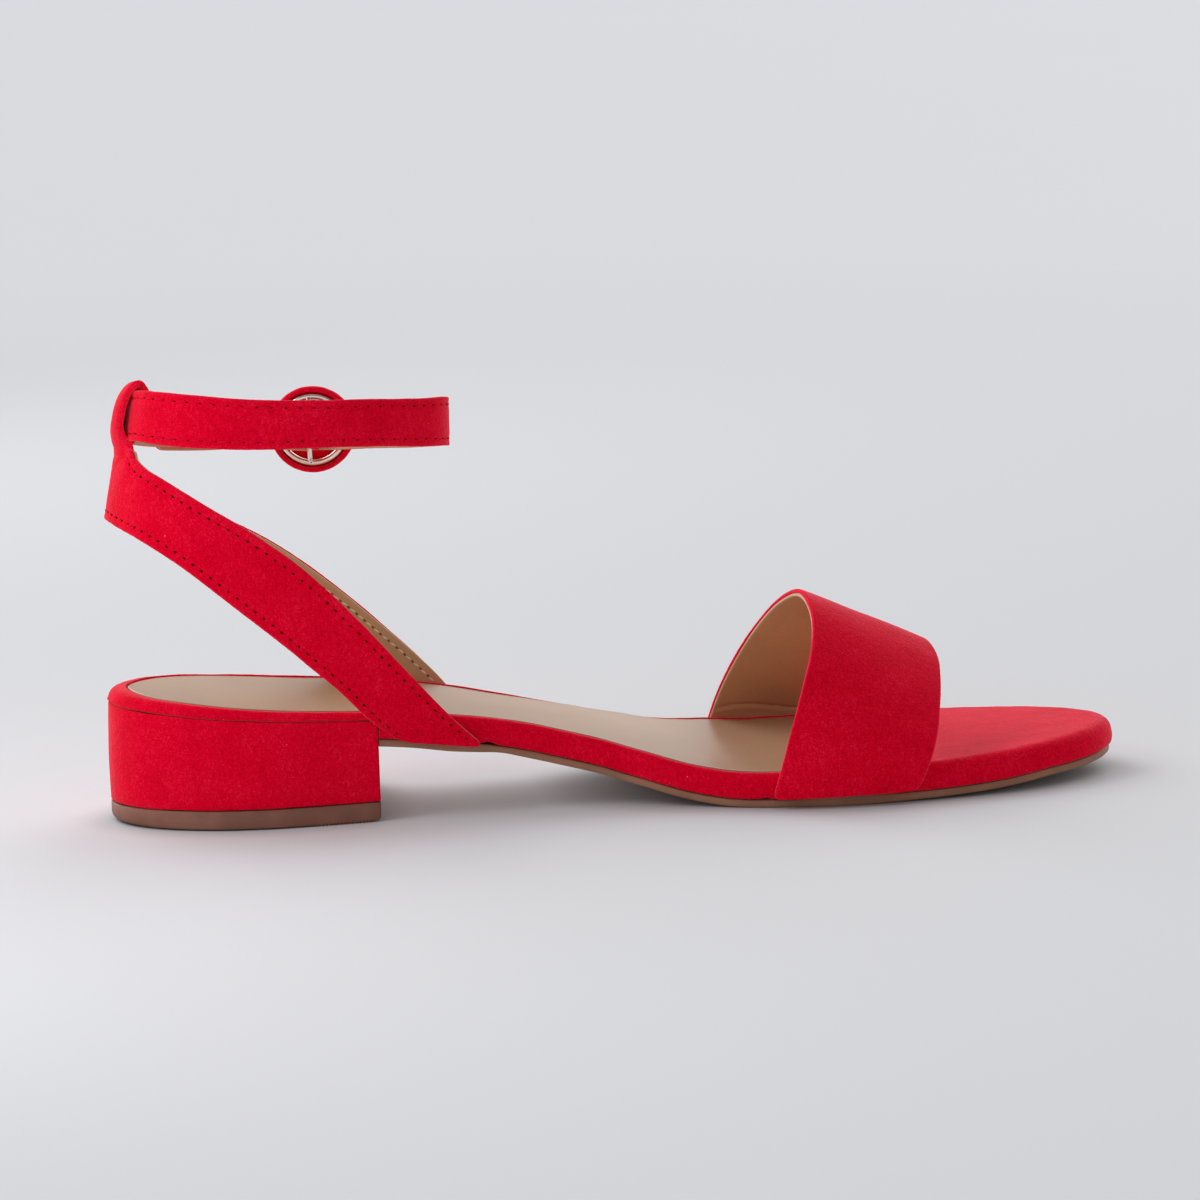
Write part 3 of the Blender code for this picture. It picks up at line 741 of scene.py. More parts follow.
@dataclass(frozen=True)
class Rubber(Finish):
    """Moulded rubber: satin, finely pebbled, paler where it is scuffed."""

    swing: float = 0.14
    gloss: float = 0.35
    relief: float = 0.12 * MM
    relief_strength: float = 0.14
    scuff: Colour = (0.32, 0.16, 0.11)
    scuff_share: float = 0.5
    depth: float = 0.82
    pebble: float = 0.5 * MM
    cloud: float = 9 * MM

    def paint(self, graph: Graph) -> None:
        """Clouds, scuffs and pebbles.

        Args:
            graph: the material's graph.
        """
        pebble, cloud = graph.grain(self.pebble, 2.0), graph.grain(self.cloud)
        body = graph.blend(self.toned(self.depth), self.colour, cloud.ramp(0.35, 0.65))
        rubbed = (0.5 * pebble + 0.5 * cloud).ramp(0.52, 0.78) * self.scuff_share
        self.lay(graph, graph.blend(body, self.scuff, rubbed), pebble, pebble)


@dataclass(frozen=True)
class Metal(Finish):
    """Polished nickel with fine rubbing marks."""

    swing: float = 0.12
    relief: float = 0.05 * MM
    relief_strength: float = 0.05
    dulling: float = 0.86
    rub: float = 0.35 * MM
    rub_stretch: tuple[float, float, float] = (1.0, 0.2, 1.0)
    cloud: float = 3 * MM

    def paint(self, graph: Graph) -> None:
        """Rubbing marks and duller clouds.

        Args:
            graph: the material's graph.
        """
        rub = graph.grain(self.rub, 2.0, self.rub_stretch)
        cloud = graph.grain(self.cloud, 2.0).ramp(0.3, 0.7)
        self.lay(graph, graph.blend(self.toned(self.dulling), self.colour, cloud), rub, rub)
        graph.surface()["Metallic"].default_value = 1.0


@dataclass(frozen=True)
class Thread(Finish):
    """Twisted sewing thread."""

    gloss: float = 0.04
    relief_strength: float = 0.3
    depth: float = 0.75
    twist: float = 0.30 * MM

    def paint(self, graph: Graph) -> None:
        """Strands of two tones.

        Args:
            graph: the material's graph.
        """
        strand = graph.grain(self.twist, 1.0)
        colour = graph.blend(self.toned(self.depth), self.colour, strand.ramp(0.35, 0.6))
        self.lay(graph, colour, strand)


@dataclass(frozen=True)
class PaleFloor(Finish):
    """The studio's floor: barely clouded, with a faint glow that is painted fill light, brighter towards the
    back, and painted contact shadow where the shoe stands on it.
    """

    gloss: float = 0.1
    cloud: float = 0.6
    dimming: float = 0.985
    glow: float = 0.122
    near_tint: Colour = (1.0, 1.0, 1.03)
    far_tint: Colour = (1.62, 1.68, 1.77)
    far_reach: float = 1.5
    contact_reach: float = 11 * MM
    painted_contact_shadow: float = 0.7
    contact_samples: int = 8

    def paint(self, graph: Graph) -> None:
        """Colour and painted glow, both darkened near the sole as painted contact shadow.

        Args:
            graph: the material's graph.
        """
        # painted contact shadow: occlusion near the shoe darkens the floor's colour and glow
        near = graph.node(
            "ShaderNodeAmbientOcclusion", {"samples": self.contact_samples}, {"Distance": self.contact_reach}
        )
        unshadowed = Value(graph, near.outputs["AO"])
        plain = graph.blend(self.toned(self.dimming), self.colour, graph.grain(self.cloud, 2.0))
        self.lay(graph, graph.blend(self.toned(self.painted_contact_shadow), plain, unshadowed))
        place = graph.node("ShaderNodeSeparateXYZ", {}, {0: graph.coordinates()})
        far = Value(graph, place.outputs["Y"]).ramp(0.0, self.far_reach)
        # painted fill light: the floor glows, more towards the back
        glow = graph.blend(BLACK, graph.blend(self.near_tint, self.far_tint, far), unshadowed)
        surface = graph.surface()
        graph.tree.links.new(glow, surface["Emission Color"])
        surface["Emission Strength"].default_value = self.glow


RED_SUEDE = Suede("red_suede_nap", (0.85, 0.0008, 0.026), 0.95)
# the sock's dark edge colour is painted shade along the gap between sock and rim
FOOTBED = Leather(
    "tan_sock_leather", (0.46, 0.280, 0.168), 0.34, gloss=0.36, cut_edge_and_gap_shade=(0.16, 0.065, 0.04)
)
STRAP_LINING = Leather("tan_strap_lining", (0.58, 0.325, 0.165), 0.55)
OUTSOLE_RUBBER = Rubber("taupe_outsole_rubber", (0.36, 0.170, 0.100), 0.60)
LIFT_RUBBER = Rubber("brown_lift_rubber", (0.26, 0.105, 0.07), 0.55)
NICKEL = Metal("polished_nickel", (0.95, 0.92, 0.86), 0.18)
RED_THREAD = Thread("red_thread", (0.86, 0.003, 0.024), 0.7)
PALE_THREAD = Thread("pale_bobbin_thread", (0.86, 0.79, 0.66), 0.6)
# dark beads at the stitch holes are painted shade inside the holes
NEEDLE_HOLE = Thread("needle_hole_shade", (0.10, 0.0, 0.005), 0.95)
LINING_HOLE = Thread("lining_hole_shade", (0.28, 0.11, 0.05), 0.9)
PALE_FLOOR = PaleFloor("pale_floor", (0.594, 0.600, 0.626), 0.7)


@dataclass
class Bench:
    """Where pieces are made: it skins, places and dresses them and hands them to the frame."""

    shift: Points

    def skin(
        self,
        name: str,
        sections: Points,
        closed: bool = False,
        cloth: Points | None = None,
        edge: Points | None = None,
    ) -> bpy.types.Object:
        """One closed mesh over closed sections.

        Args:
            name: the piece's name.
            sections: rings of points, one after another.
            closed: whether the last ring joins the first; otherwise the ends are capped.
            cloth: for each point, its place along and across the strap.
            edge: for each point, how near a cut edge it is, from 0 to 1.

        Returns:
            The piece, in place and not yet dressed.
        """
        count, around = sections.shape[:2]
        index = np.arange(count * around).reshape(count, around)
        here = index if closed else index[:-1]
        ahead = np.roll(index, -1, axis=0) if closed else index[1:]
        quads = np.stack(
            [here, np.roll(here, -1, axis=1), np.roll(ahead, -1, axis=1), ahead], axis=-1
        ).reshape(-1, 4)
        faces = quads.tolist()
        if not closed:
            faces += [ring.tolist() for ring, row in zip(index[[0, -1]], sections[[0, -1]]) if opens(row)]
        mesh = bpy.data.meshes.new(name)
        mesh.from_pydata((sections.reshape(-1, 3) + self.shift).tolist(), [], faces)
        if cloth is not None:
            corners = np.empty(len(mesh.loops), np.int32)
            mesh.loops.foreach_get("vertex_index", corners)
            layer = mesh.uv_layers.new(name="strap")
            layer.data.foreach_set("uv", cloth.reshape(-1, 2)[corners].astype(np.float32).ravel())
        if edge is not None:
            mark = mesh.attributes.new(EDGE_MARK, "FLOAT", "POINT")
            mark.data.foreach_set("value", edge.astype(np.float32).ravel())
        body = bmesh.new()
        body.from_mesh(mesh)
        bmesh.ops.remove_doubles(body, verts=body.verts, dist=MERGE_REACH)
        bmesh.ops.dissolve_degenerate(body, edges=body.edges, dist=SLIVER)
        bmesh.ops.recalc_face_normals(body, faces=body.faces)
        body.to_mesh(mesh)
        body.free()
        mesh.shade_smooth()
        mesh.set_sharp_from_angle(angle=SHARP_ANGLE)
        return placed(name, mesh)

    def dress(self, piece: bpy.types.Object, finish: Finish, slot: Slot, *nodes: str) -> None:
        """Give a piece its finish and hand it to the frame.

        Args:
            piece: the finished mesh.
            finish: its surface.
            slot: the part's material slot for it; not used.
            nodes: the solids that it stands for.
        """
        if not piece.data.materials:
            piece.data.materials.append(finish.material())
        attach(piece, BODY)
        if nodes:
            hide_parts(*nodes)
        faces = sum(len(face.vertices) - 2 for face in piece.data.polygons)
        log.info("%s: %s, %d triangles", piece.name, finish.name, faces)


def opens(ring: Points) -> bool:
    """Whether an end ring has an area to cap."""
    return float(np.sort(np.ptp(ring, axis=0))[1]) > FLAT_RING


class Ruffle(NamedTuple):
    """Slight unevenness: how far points move at most, and the distance between the humps."""

    height: float
    size: float


def uneven(places: Points, outward: Points, ruffles: Sequence[Ruffle]) -> Points:
    """Points moved along their normals by soft noise.

    Args:
        places: the points, in the part's frame.
        outward: the normal at each.
        ruffles: layers of unevenness.

    Returns:
        The moved points.
    """
    lifts = np.zeros(len(places))
    for layer in ruffles:
        lifts += [layer.height * noise.noise(Vector(place / layer.size)) for place in places]
    return places + outward * lifts[:, None]


def ruffle(piece: bpy.types.Object, *ruffles: Ruffle) -> None:
    """Make a smooth piece slightly uneven.

    Args:
        piece: the piece, changed in place.
        ruffles: layers of unevenness.
    """
    mesh = piece.data
    places = np.empty(len(mesh.vertices) * 3, np.float32)
    mesh.vertices.foreach_get("co", places)
    outward = np.empty(len(mesh.vertices) * 3, np.float32)
    mesh.vertex_normals.foreach_get("vector", outward)
    moved = uneven(places.reshape(-1, 3).astype(float), outward.reshape(-1, 3), ruffles)
    mesh.vertices.foreach_set("co", moved.astype(np.float32).ravel())
    mesh.update()


class Line(NamedTuple):
    """A line round a plate's edge: inset, height, the heel's narrowing, and its drop on the outer side."""

    inset: SizeOrAt
    height: SizeOrAt
    narrowing: float = 0.0
    outer_drop: SizeOrAt = 0.0


@dataclass
class SoleShape:
    """Outline and heights of the sole, shared by all its plates."""

    length: float = 250 * MM
    heel_round: float = 42 * MM
    heel_power: float = 2.0
    toe_round: float = 72 * MM
    toe_power: float = 1.92
    sock_depth: float = 1.2 * MM
    sock_front: float = 180 * MM
    sock_step: float = 1 * MM
    cup_depth: float = 0.8 * MM
    cup_fade: float = 30 * MM
    squeeze_width: float = 20 * MM
    sag_width: float = 46 * MM
    breast: float = 65 * MM
    seat_dish: float = 3.2 * MM

    def __post_init__(self) -> None:
        """Read the tables."""
        self.centre = Flow(SOLE_PLAN, "centre")
        self.half = Flow(SOLE_PLAN, "half_width")
        self.rim = Flow(SOLE_PROFILE, "rim")
        self.rise = Flow(SOLE_PROFILE, "rise")
        self.wall = Flow(SOLE_WALL, "whole")
        self.seat_wall = Flow(SOLE_WALL, "seat")
        self.tread_thick = Flow(SOLE_WALL, "tread")
        self.top_round = Flow(SOLE_WALL, "top_round")

    def station(self, turns: Points) -> Points:
        """Stations at turns from 0 at the heel to pi at the toe."""
        return self.length * (1 - np.cos(turns)) / 2

    def turns(self, count: int, start: float, stop: float) -> Points:
        """Even turns between two stations."""
        ends = [math.acos(1 - 2 * station / self.length) for station in (start, stop)]
        return np.linspace(*ends, count)

    def half_width(self, station: Points) -> Points:
        """Half the width, closed in a round at the heel and at the toe.

        Args:
            station: where along the sole.

        Returns:
            A size for each station.
        """
        back = np.clip((self.heel_round - station) / self.heel_round, 0.0, 1.0)
        front = np.clip((station - self.length + self.toe_round) / self.toe_round, 0.0, 1.0)
        heel = (1 - back**self.heel_power) ** (1 / self.heel_power)
        toe = (1 - front**self.toe_power) ** (1 / self.toe_power)
        return self.half(station) * heel * toe

    def outline(self, turns: Points, side: Side, narrowing: float) -> Points:
        """Points of the edge in plan.

        Args:
            turns: where along the sole.
            side: which side of the foot.
            narrowing: how much narrower the heel is there.

        Returns:
            X and Y for each turn.
        """
        x = self.station(np.clip(turns, 0.0, math.pi))
        width = self.half_width(x)
        squeeze = narrowing * np.minimum(1.0, width / self.squeeze_width)
        return np.stack([x, self.centre(x) + side.value * (width - squeeze)], axis=1)

    def edge(self, turns: Points, side: Side, inset: Sizes, narrowing: float) -> Points:
        """Points of the edge in plan, moved in along its normal.

        Args:
            turns: where along the sole.
            side: which side of the foot.
            inset: how far in, one size or one for each turn.
            narrowing: how much narrower the heel is there.

        Returns:
            X and Y for each turn.
        """
        small = 1e-4
        ahead = self.outline(turns + small, side, narrowing)
        along = unit(ahead - self.outline(turns - small, side, narrowing))
        inward = np.stack([along[:, 1], -along[:, 0]], axis=1) * side.value
        return self.outline(turns, side, narrowing) + inward * np.reshape(inset, (-1, 1))

    def plate(
        self,
        turns: Points,
        lines: Sequence[Line],
        top_sag: SizeOrAt = 0.0,
        bottom_sag: SizeOrAt = 0.0,
        across: int = 24,
    ) -> Points:
        """Closed sections of a plate under the foot.

        Args:
            turns: where along the sole.
            lines: lines that run round its edge from the bottom up.
            top_sag: how far the middle of its top lies below the edge.
            bottom_sag: the same for its underside.
            across: steps from side to side.

        Returns:
            A ring of points for each turn.
        """
        x = self.station(turns)
        sides = []
        for side in Side:
            points = []
            for line in lines:
                plan = self.edge(turns, side, size_at(line.inset, x), line.narrowing)
                height = size_at(line.height, x) * np.ones(len(x))
                if side is Side.OUTER:
                    height += self.rise(x) - size_at(line.outer_drop, x)
                points.append(np.column_stack([plan, height]))
            sides.append(np.stack(points, axis=1))
        inner, outer = sides
        parts = np.arange(1, across) / across
        spread = np.minimum(1.0, (outer[:, 0, 1] - inner[:, 0, 1]) / self.sag_width)
        bow = np.outer(spread**2, 4 * parts * (1 - parts))
        top = inner[:, -1:] + parts[None, :, None] * (outer[:, -1:] - inner[:, -1:])
        top[..., 2] -= np.reshape(size_at(top_sag, x), (-1, 1)) * bow
        bottom = inner[:, :1] + parts[None, :, None] * (outer[:, :1] - inner[:, :1])
        bottom[..., 2] -= np.reshape(size_at(bottom_sag, x), (-1, 1)) * bow
        return np.concatenate([inner, top, outer[:, ::-1], bottom[:, ::-1]], axis=1)

    def crease(self, station: Points) -> Points:
        """Height of the line where the heel's cover meets the midsole."""
        return self.rim(station) - self.seat_wall(station)

    def underside(self, station: Points) -> Points:
        """Height of the midsole's lower edge."""
        return np.where(station < self.breast, self.crease(station), self.rim(station) - self.wall(station))

    def dish(self, station: Points) -> Points:
        """How far the middle of the heel seat lies below its edge."""
        return np.where(station < self.breast, self.seat_dish, 0.0)

    def cup(self, station: Points) -> Points:
        """How far the footbed's middle lies below its edge."""
        fade = (station - self.sock_front) / self.cup_fade + 1
        return self.cup_depth * np.clip(1 - fade, 0.0, 1.0)

    def sock_floor(self, station: Points) -> Points:
        """Height of the seat for the sock, flush with the rim ahead of it."""
        ahead = (station - self.sock_front - FIT_GAP) / self.sock_step
        return self.rim(station) - self.sock_depth * np.clip(1 - ahead, 0.0, 1.0)


@dataclass
class Sole:
    """Midsole in its suede wrap, sock on top and rubber outsole below."""

    bench: Bench
    shape: SoleShape
    steps: int = 300
    wrap_across: int = 36
    wall_rows: int = 8
    foot_round: float = 0.6 * MM
    notches: Sequence[Hump] = (
        Hump(92.3 * MM, 1.3 * MM, 0.70 * MM),
        Hump(158.0 * MM, 1.0 * MM, 0.42 * MM),
    )
    belly: float = 0.15 * MM
    breast_step: float = 0.01 * MM
    turn_gap: float = 0.002
    sock_steps: int = 200
    sock_across: int = 40
    sock_rim: float = 0.7 * MM
    back_rim: Hump = Hump(0.0, 9 * MM, 0.9 * MM)
    sock_draft: float = 0.2 * MM
    sock_gap: float = 0.15 * MM
    sock_proud: float = 0.12 * MM
    sock_lean: float = 0.36 * MM
    arch_lift: Hump = Hump(126 * MM, 17 * MM, 0.504 * MM)
    sock_edge_round: float = 0.4 * MM
    # painted shade on the sock's rounded edge, full on its underside and side, fading over its top
    sock_edge_shade: Sequence[float] = (1.0, 1.0, 0.9, 0.3, 0.0)
    outsole_steps: int = 220
    outsole_across: int = 16
    outsole_inset: float = 0.7 * MM
    outsole_round: float = 0.5 * MM
    outsole_chamfer: float = 0.2 * MM
    waves: Sequence[Hump] = (
        Hump(83.5 * MM, 7 * MM, 0.45 * MM),
        Hump(95.5 * MM, 4 * MM, -0.35 * MM),
    )

    def build(self) -> None:
        """Make and dress the three plates."""
        self.wrap()
        self.sock()
        self.outsole()

    def wrap(self) -> None:
        """The suede that covers the midsole's wall, rim and toe."""
        shape = self.shape
        lines = []
        for inset, rise in quarter(self.foot_round, 90, 67, 45, 22):
            lines.append(Line(inset, lambda x, up=rise: self.foot(x) + up))
        for share in np.linspace(0.0, 1.0, self.wall_rows):
            lines.append(Line(-self.belly * math.sin(math.pi * share), self.wall_height(share)))
        for angle in np.radians([15, 30, 45, 60, 75, 90]):
            lines.append(self.shoulder(angle))
        lines.append(Line(self.sock_edge, shape.rim))
        lines.append(Line(lambda x: self.sock_edge(x) + self.sock_draft, shape.sock_floor))
        sections = shape.plate(self.fine_turns(), lines, shape.cup, shape.dish, self.wrap_across)
        piece = self.bench.skin("midsole_wrap", sections)
        ruffle(piece, Ruffle(0.10 * MM, 6 * MM), Ruffle(0.05 * MM, 1.3 * MM))
        self.bench.dress(piece, RED_SUEDE, Slot.SUEDE, "midsole")

    def fine_turns(self) -> Points:
        """Turns from heel to toe, with the steps at the heel's breast and the sock's front.

        Returns:
            The turns, in order.
        """
        shape = self.shape
        even = shape.turns(self.steps, 0.0, shape.length)
        front = shape.sock_front + FIT_GAP
        stops = [shape.breast - self.breast_step, shape.breast + self.breast_step]
        stops += [front, front + shape.sock_step]
        fixed = [math.acos(1 - 2 * stop / shape.length) for stop in stops]
        kept = [turn for turn in even if min(abs(turn - stop) for stop in fixed) > self.turn_gap]
        return np.sort(np.array(kept + fixed))

    def foot(self, x: Points) -> Points:
        """Height of the wrap's lower edge, lifted a little beside the straps that go under it."""
        return self.shape.underside(x) + sum(notch.at(x) for notch in self.notches)

    def sock_edge(self, x: Points) -> Points:
        """Inset of the sock's seat, past the shoulder and a flat rim that is broader at the back."""
        return self.shape.top_round(x) + self.sock_rim + self.back_rim.at(x)

    def wall_height(self, share: float) -> SizeAt:
        """Height of a line on the wall between its foot and its shoulder.

        Args:
            share: how far up the wall, from 0 to 1.

        Returns:
            The height by station.
        """
        shape = self.shape

        def height(x: Points) -> Points:
            """The line's height at stations."""
            low = self.foot(x) + self.foot_round
            return low + share * np.maximum(shape.rim(x) - shape.top_round(x) - low, 0.0)

        return height

    def shoulder(self, angle: float) -> Line:
        """A line on the wall's rounded top edge.

        Args:
            angle: from 0 on the wall to a quarter turn on the rim.

        Returns:
            The line.
        """
        shape = self.shape
        return Line(
            lambda x: shape.top_round(x) * (1 - math.cos(angle)),
            lambda x: shape.rim(x) - shape.top_round(x) * (1 - math.sin(angle)),
        )

    def lean(self, x: Points) -> Points:
        """How far the sock's outer edge lies lower, save at the arch, where it hides the rim."""
        return self.sock_lean - self.arch_lift.at(x)

    def sock(self) -> None:
        """The tan sock that the foot rests on, a little proud of the rim on the inner side."""
        shape = self.shape
        gap, across = self.sock_draft + self.sock_gap, self.sock_across

        def inset(step: float) -> SizeAt:
            """A line's inset by station."""
            return lambda x: self.sock_edge(x) + gap + step

        lines = [Line(inset(0.0), lambda x: shape.rim(x) + FIT_GAP - shape.sock_depth)]
        for step, fall in quarter(self.sock_edge_round, 0, 30, 60, 90):
            height = self.sock_proud - fall
            lines.append(Line(inset(step), lambda x, up=height: shape.rim(x) + up, outer_drop=self.lean))
        turns = shape.turns(self.sock_steps, 0.0, shape.sock_front)
        sections = shape.plate(turns, lines, shape.cup, shape.cup, across)
        # painted shade: the edge rows on both sides are marked dark, the top rows less
        cut = np.array(self.sock_edge_shade)
        marks = np.zeros(sections.shape[:2])
        marks[:, :len(cut)] = cut
        marks[:, len(cut) + across - 1:][:, :len(cut)] = cut[::-1]
        piece = self.bench.skin("insole_sock", sections, edge=marks)
        ruffle(piece, Ruffle(0.14 * MM, 24 * MM))
        self.bench.dress(piece, FOOTBED, Slot.LINING, "insole")

    def outsole(self) -> None:
        """The rubber outsole, slightly wavy behind the ball."""
        shape = self.shape

        def top(x: Points) -> Points:
            """Height of its upper edge."""
            return shape.underside(np.maximum(x, shape.breast + 2 * self.breast_step)) - FIT_GAP

        def tread(x: Points) -> Points:
            """Height of its underside."""
            return top(x) - shape.tread_thick(x) - sum(wave.at(x) for wave in self.waves)

        inset, chamfer = self.outsole_inset, self.outsole_chamfer
        lines = []
        for step, rise in quarter(self.outsole_round, 90, 60, 30, 0):
            lines.append(Line(inset + step, lambda x, up=rise: tread(x) + up))
        lines.append(Line(inset, lambda x: (tread(x) + top(x)) / 2))
        lines.append(Line(inset, lambda x: top(x) - chamfer))
        lines.append(Line(inset + chamfer, top))
        turns = shape.turns(self.outsole_steps, shape.breast, shape.length)
        piece = self.bench.skin("outsole_rubber", shape.plate(turns, lines, across=self.outsole_across))
        self.bench.dress(piece, OUTSOLE_RUBBER, Slot.RUBBER, "outsole")


@dataclass
class Heel:
    """Covered heel block on its rubber lift."""

    bench: Bench
    shape: SoleShape
    steps: int = 150
    corner_steps: int = 13
    end_gap: float = 1e-6
    narrowing: float = 1.3 * MM
    breast_gap: float = 0.1 * MM
    corner: float = 0.8 * MM
    front_round: float = 1.2 * MM
    flare: Hump = Hump(0.0, 14 * MM, 0.55 * MM)
    foot_flare: float = 0.8
    foot_inset: float = 0.3 * MM
    foot_rise: float = 0.4 * MM
    belly: float = 0.2 * MM
    belly_rows: int = 14
    belly_margin: float = 0.06
    top_round: float = 0.45 * MM
    seam_gap: float = 0.16 * MM
    lift_across: int = 12
    lift_height: float = 4.85 * MM
    lift_inset: float = 0.1 * MM
    lift_chamfer: float = 0.25 * MM
    lift_flare: float = 0.9
    lift_bevel: float = 0.4 * MM
    back_bevel: Hump = Hump(0.0, 10 * MM, 1.4 * MM)
    under_inset: float = 0.6 * MM
    rib_pitch: float = 0.9 * MM
    rib_width: float = 0.45 * MM
    rib_height: float = 0.35 * MM
    rib_sink: float = 0.05 * MM
    rib_inset: float = 0.2 * MM
    back_rib_inset: float = 2.4 * MM
    first_rib: float = 5 * MM
    last_rib_gap: float = 1.5 * MM
    rib_spread_start: float = 30 * MM
    rib_spread: float = 20 * MM

    def build(self) -> None:
        """Make and dress the block, the lift and the lift's ribs."""
        self.block()
        self.lift()
        self.ribs()

    def turns(self) -> Points:
        """Turns along the heel, close together at the breast's round corners.

        Returns:
            The turns, in order.
        """
        shape = self.shape
        end = shape.breast - self.breast_gap
        main = shape.turns(self.steps, 0.0, end - self.front_round)
        tip = shape.turns(self.corner_steps, end - self.front_round, end - self.end_gap)
        return np.concatenate([main[:-1], tip])

    def cornered(self, inset: float, low: float = 0.0, bevel: float = 0.0) -> SizeAt:
        """An inset that rounds the two upright edges at the breast.

        Args:
            inset: how far in elsewhere.
            low: share of the flare at the back, 1 at the floor.
            bevel: share of the lift's rounded lower edge.

        Returns:
            The inset by station.
        """

        def size(x: Points) -> Points:
            """The inset at stations."""
            flared = inset - low * self.flare.at(x) + bevel * self.bevel(x)
            return flared + self.rounded(x, self.corner)

        return size

    def rounded(self, x: Points, radius: float) -> Points:
        """How far a round edge at the breast has turned in.

        Args:
            x: where along the sole.
            radius: of the rounding.

        Returns:
            A size for each station.
        """
        start = self.shape.breast - self.breast_gap - radius
        share = np.clip((x - start) / radius, 0.0, 1.0)
        return radius * (1 - np.sqrt(1 - share**2))

    def bevel(self, x: Points) -> Points:
        """Size of the lift's rounded lower edge, larger at the back."""
        return self.lift_bevel + self.back_bevel.at(x)

    def block(self) -> None:
        """The suede-covered block under the heel seat."""
        shape = self.shape
        foot = self.lift_height + FIT_GAP
        lines = [
            Line(self.cornered(self.foot_inset, self.foot_flare), foot, self.narrowing),
            Line(self.cornered(0.0, self.foot_flare), foot + self.foot_rise, self.narrowing),
        ]
        for share in np.linspace(self.belly_margin, 1 - self.belly_margin, self.belly_rows):
            bulge = self.belly * math.sin(math.pi * share)
            lines.append(
                Line(
                    self.cornered(-bulge, self.foot_flare * (1 - share)),
                    lambda x, s=share: foot + s * (shape.crease(x) - foot),
                    self.narrowing * (1 - share),
                )
            )
        for inset, fall in quarter(self.top_round, 0, 30, 60, 90):
            drop = self.seam_gap + fall
            lines.append(Line(self.cornered(inset), lambda x, by=drop: shape.crease(x) - by))
        piece = self.bench.skin("heel_cover", shape.plate(self.turns(), lines, shape.dish))
        ruffle(piece, Ruffle(0.10 * MM, 7 * MM), Ruffle(0.04 * MM, 1.4 * MM))
        self.bench.dress(piece, RED_SUEDE, Slot.SUEDE, "heel_block")

    def lift(self) -> None:
        """The rubber lift that wears on the floor."""

        def under(x: Points) -> Points:
            """Height of its underside, above the ribs."""
            return self.rib_height + self.rounded(x, self.front_round)

        inset, high, chamfer = self.lift_inset, self.lift_height, self.lift_chamfer
        lines = [Line(self.cornered(self.under_inset, 1.0, 1.0), under, self.narrowing)]
        for step, rise in quarter(1.0, 80, 55, 30, 0):
            lines.append(
                Line(
                    self.cornered(inset, 1.0, step),
                    lambda x, share=rise: under(x) + share * self.bevel(x),
                    self.narrowing,
                )
            )
        lines.append(Line(self.cornered(inset, self.lift_flare), high - chamfer, self.narrowing))
        lines.append(Line(self.cornered(inset + chamfer, self.lift_flare), high, self.narrowing))
        sections = self.shape.plate(self.turns(), lines, across=self.lift_across)
        piece = self.bench.skin("heel_lift_rubber", sections)
        self.bench.dress(piece, LIFT_RUBBER, Slot.RUBBER, "heel_lift")

    def ribs(self) -> None:
        """Low ribs across the lift's underside, down to the floor."""
        shape = self.shape
        stations = np.arange(self.first_rib, shape.breast - self.last_rib_gap, self.rib_pitch)
        turns = np.arccos(1 - 2 * stations / shape.length)
        ahead = np.clip((stations - self.rib_spread_start) / self.rib_spread, 0.0, 1.0)
        inset = self.back_rib_inset + ahead * (self.rib_inset - self.back_rib_inset)
        ends = [shape.edge(turns, side, inset, self.narrowing) for side in Side]
        middle = (ends[0] + ends[1]) / 2
        places = np.column_stack([middle, np.full(len(stations), self.rib_height / 2 + self.rib_sink)])
        guide = bpy.data.meshes.new("lift_rib_places")
        guide.from_pydata((places + self.bench.shift).tolist(), [], [])
        length = guide.attributes.new(RIB_LENGTH, "FLOAT", "POINT")
        length.data.foreach_set("value", (ends[1] - ends[0])[:, 1].astype(np.float32))
        sizes = {"Width": self.rib_width, "Height": self.rib_height + 2 * self.rib_sink}
        piece = Grown(rib_tree(), sizes, LIFT_RUBBER).on(guide, "heel_lift_ribs")
        self.bench.dress(piece, LIFT_RUBBER, Slot.RUBBER)


def geometry_tree(name: str, inputs: dict[str, str]) -> tuple[Graph, bpy.types.Node]:
    """An empty geometry tree.

    Args:
        name: the tree's name.
        inputs: names and kinds of its inputs, after the geometry.

    Returns:
        The graph to add nodes to, and its input node.
    """
    tree = bpy.data.node_groups.new(name, "GeometryNodeTree")
    tree.interface.new_socket("Geometry", in_out="INPUT", socket_type="NodeSocketGeometry")
    tree.interface.new_socket("Geometry", in_out="OUTPUT", socket_type="NodeSocketGeometry")
    for item, kind in {**inputs, "Material": "NodeSocketMaterial"}.items():
        tree.interface.new_socket(item, in_out="INPUT", socket_type=kind)
    graph = Graph(tree)
    return graph, graph.node("NodeGroupInput", {}, {})


def close_tree(graph: Graph, given: bpy.types.Node, instances: bpy.types.NodeSocket) -> None:
    """End a geometry tree in plain, smooth, dressed mesh.

    Args:
        graph: the tree's graph.
        given: its input node.
        instances: what it has placed.
    """
    real = graph.first("GeometryNodeRealizeInstances", {"Geometry": instances})
    smooth = graph.first("GeometryNodeSetShadeSmooth", {"Geometry": real})
    sockets = {"Geometry": smooth, "Material": given.outputs["Material"]}
    graph.node("NodeGroupOutput", {}, {"Geometry": graph.first("GeometryNodeSetMaterial", sockets)})


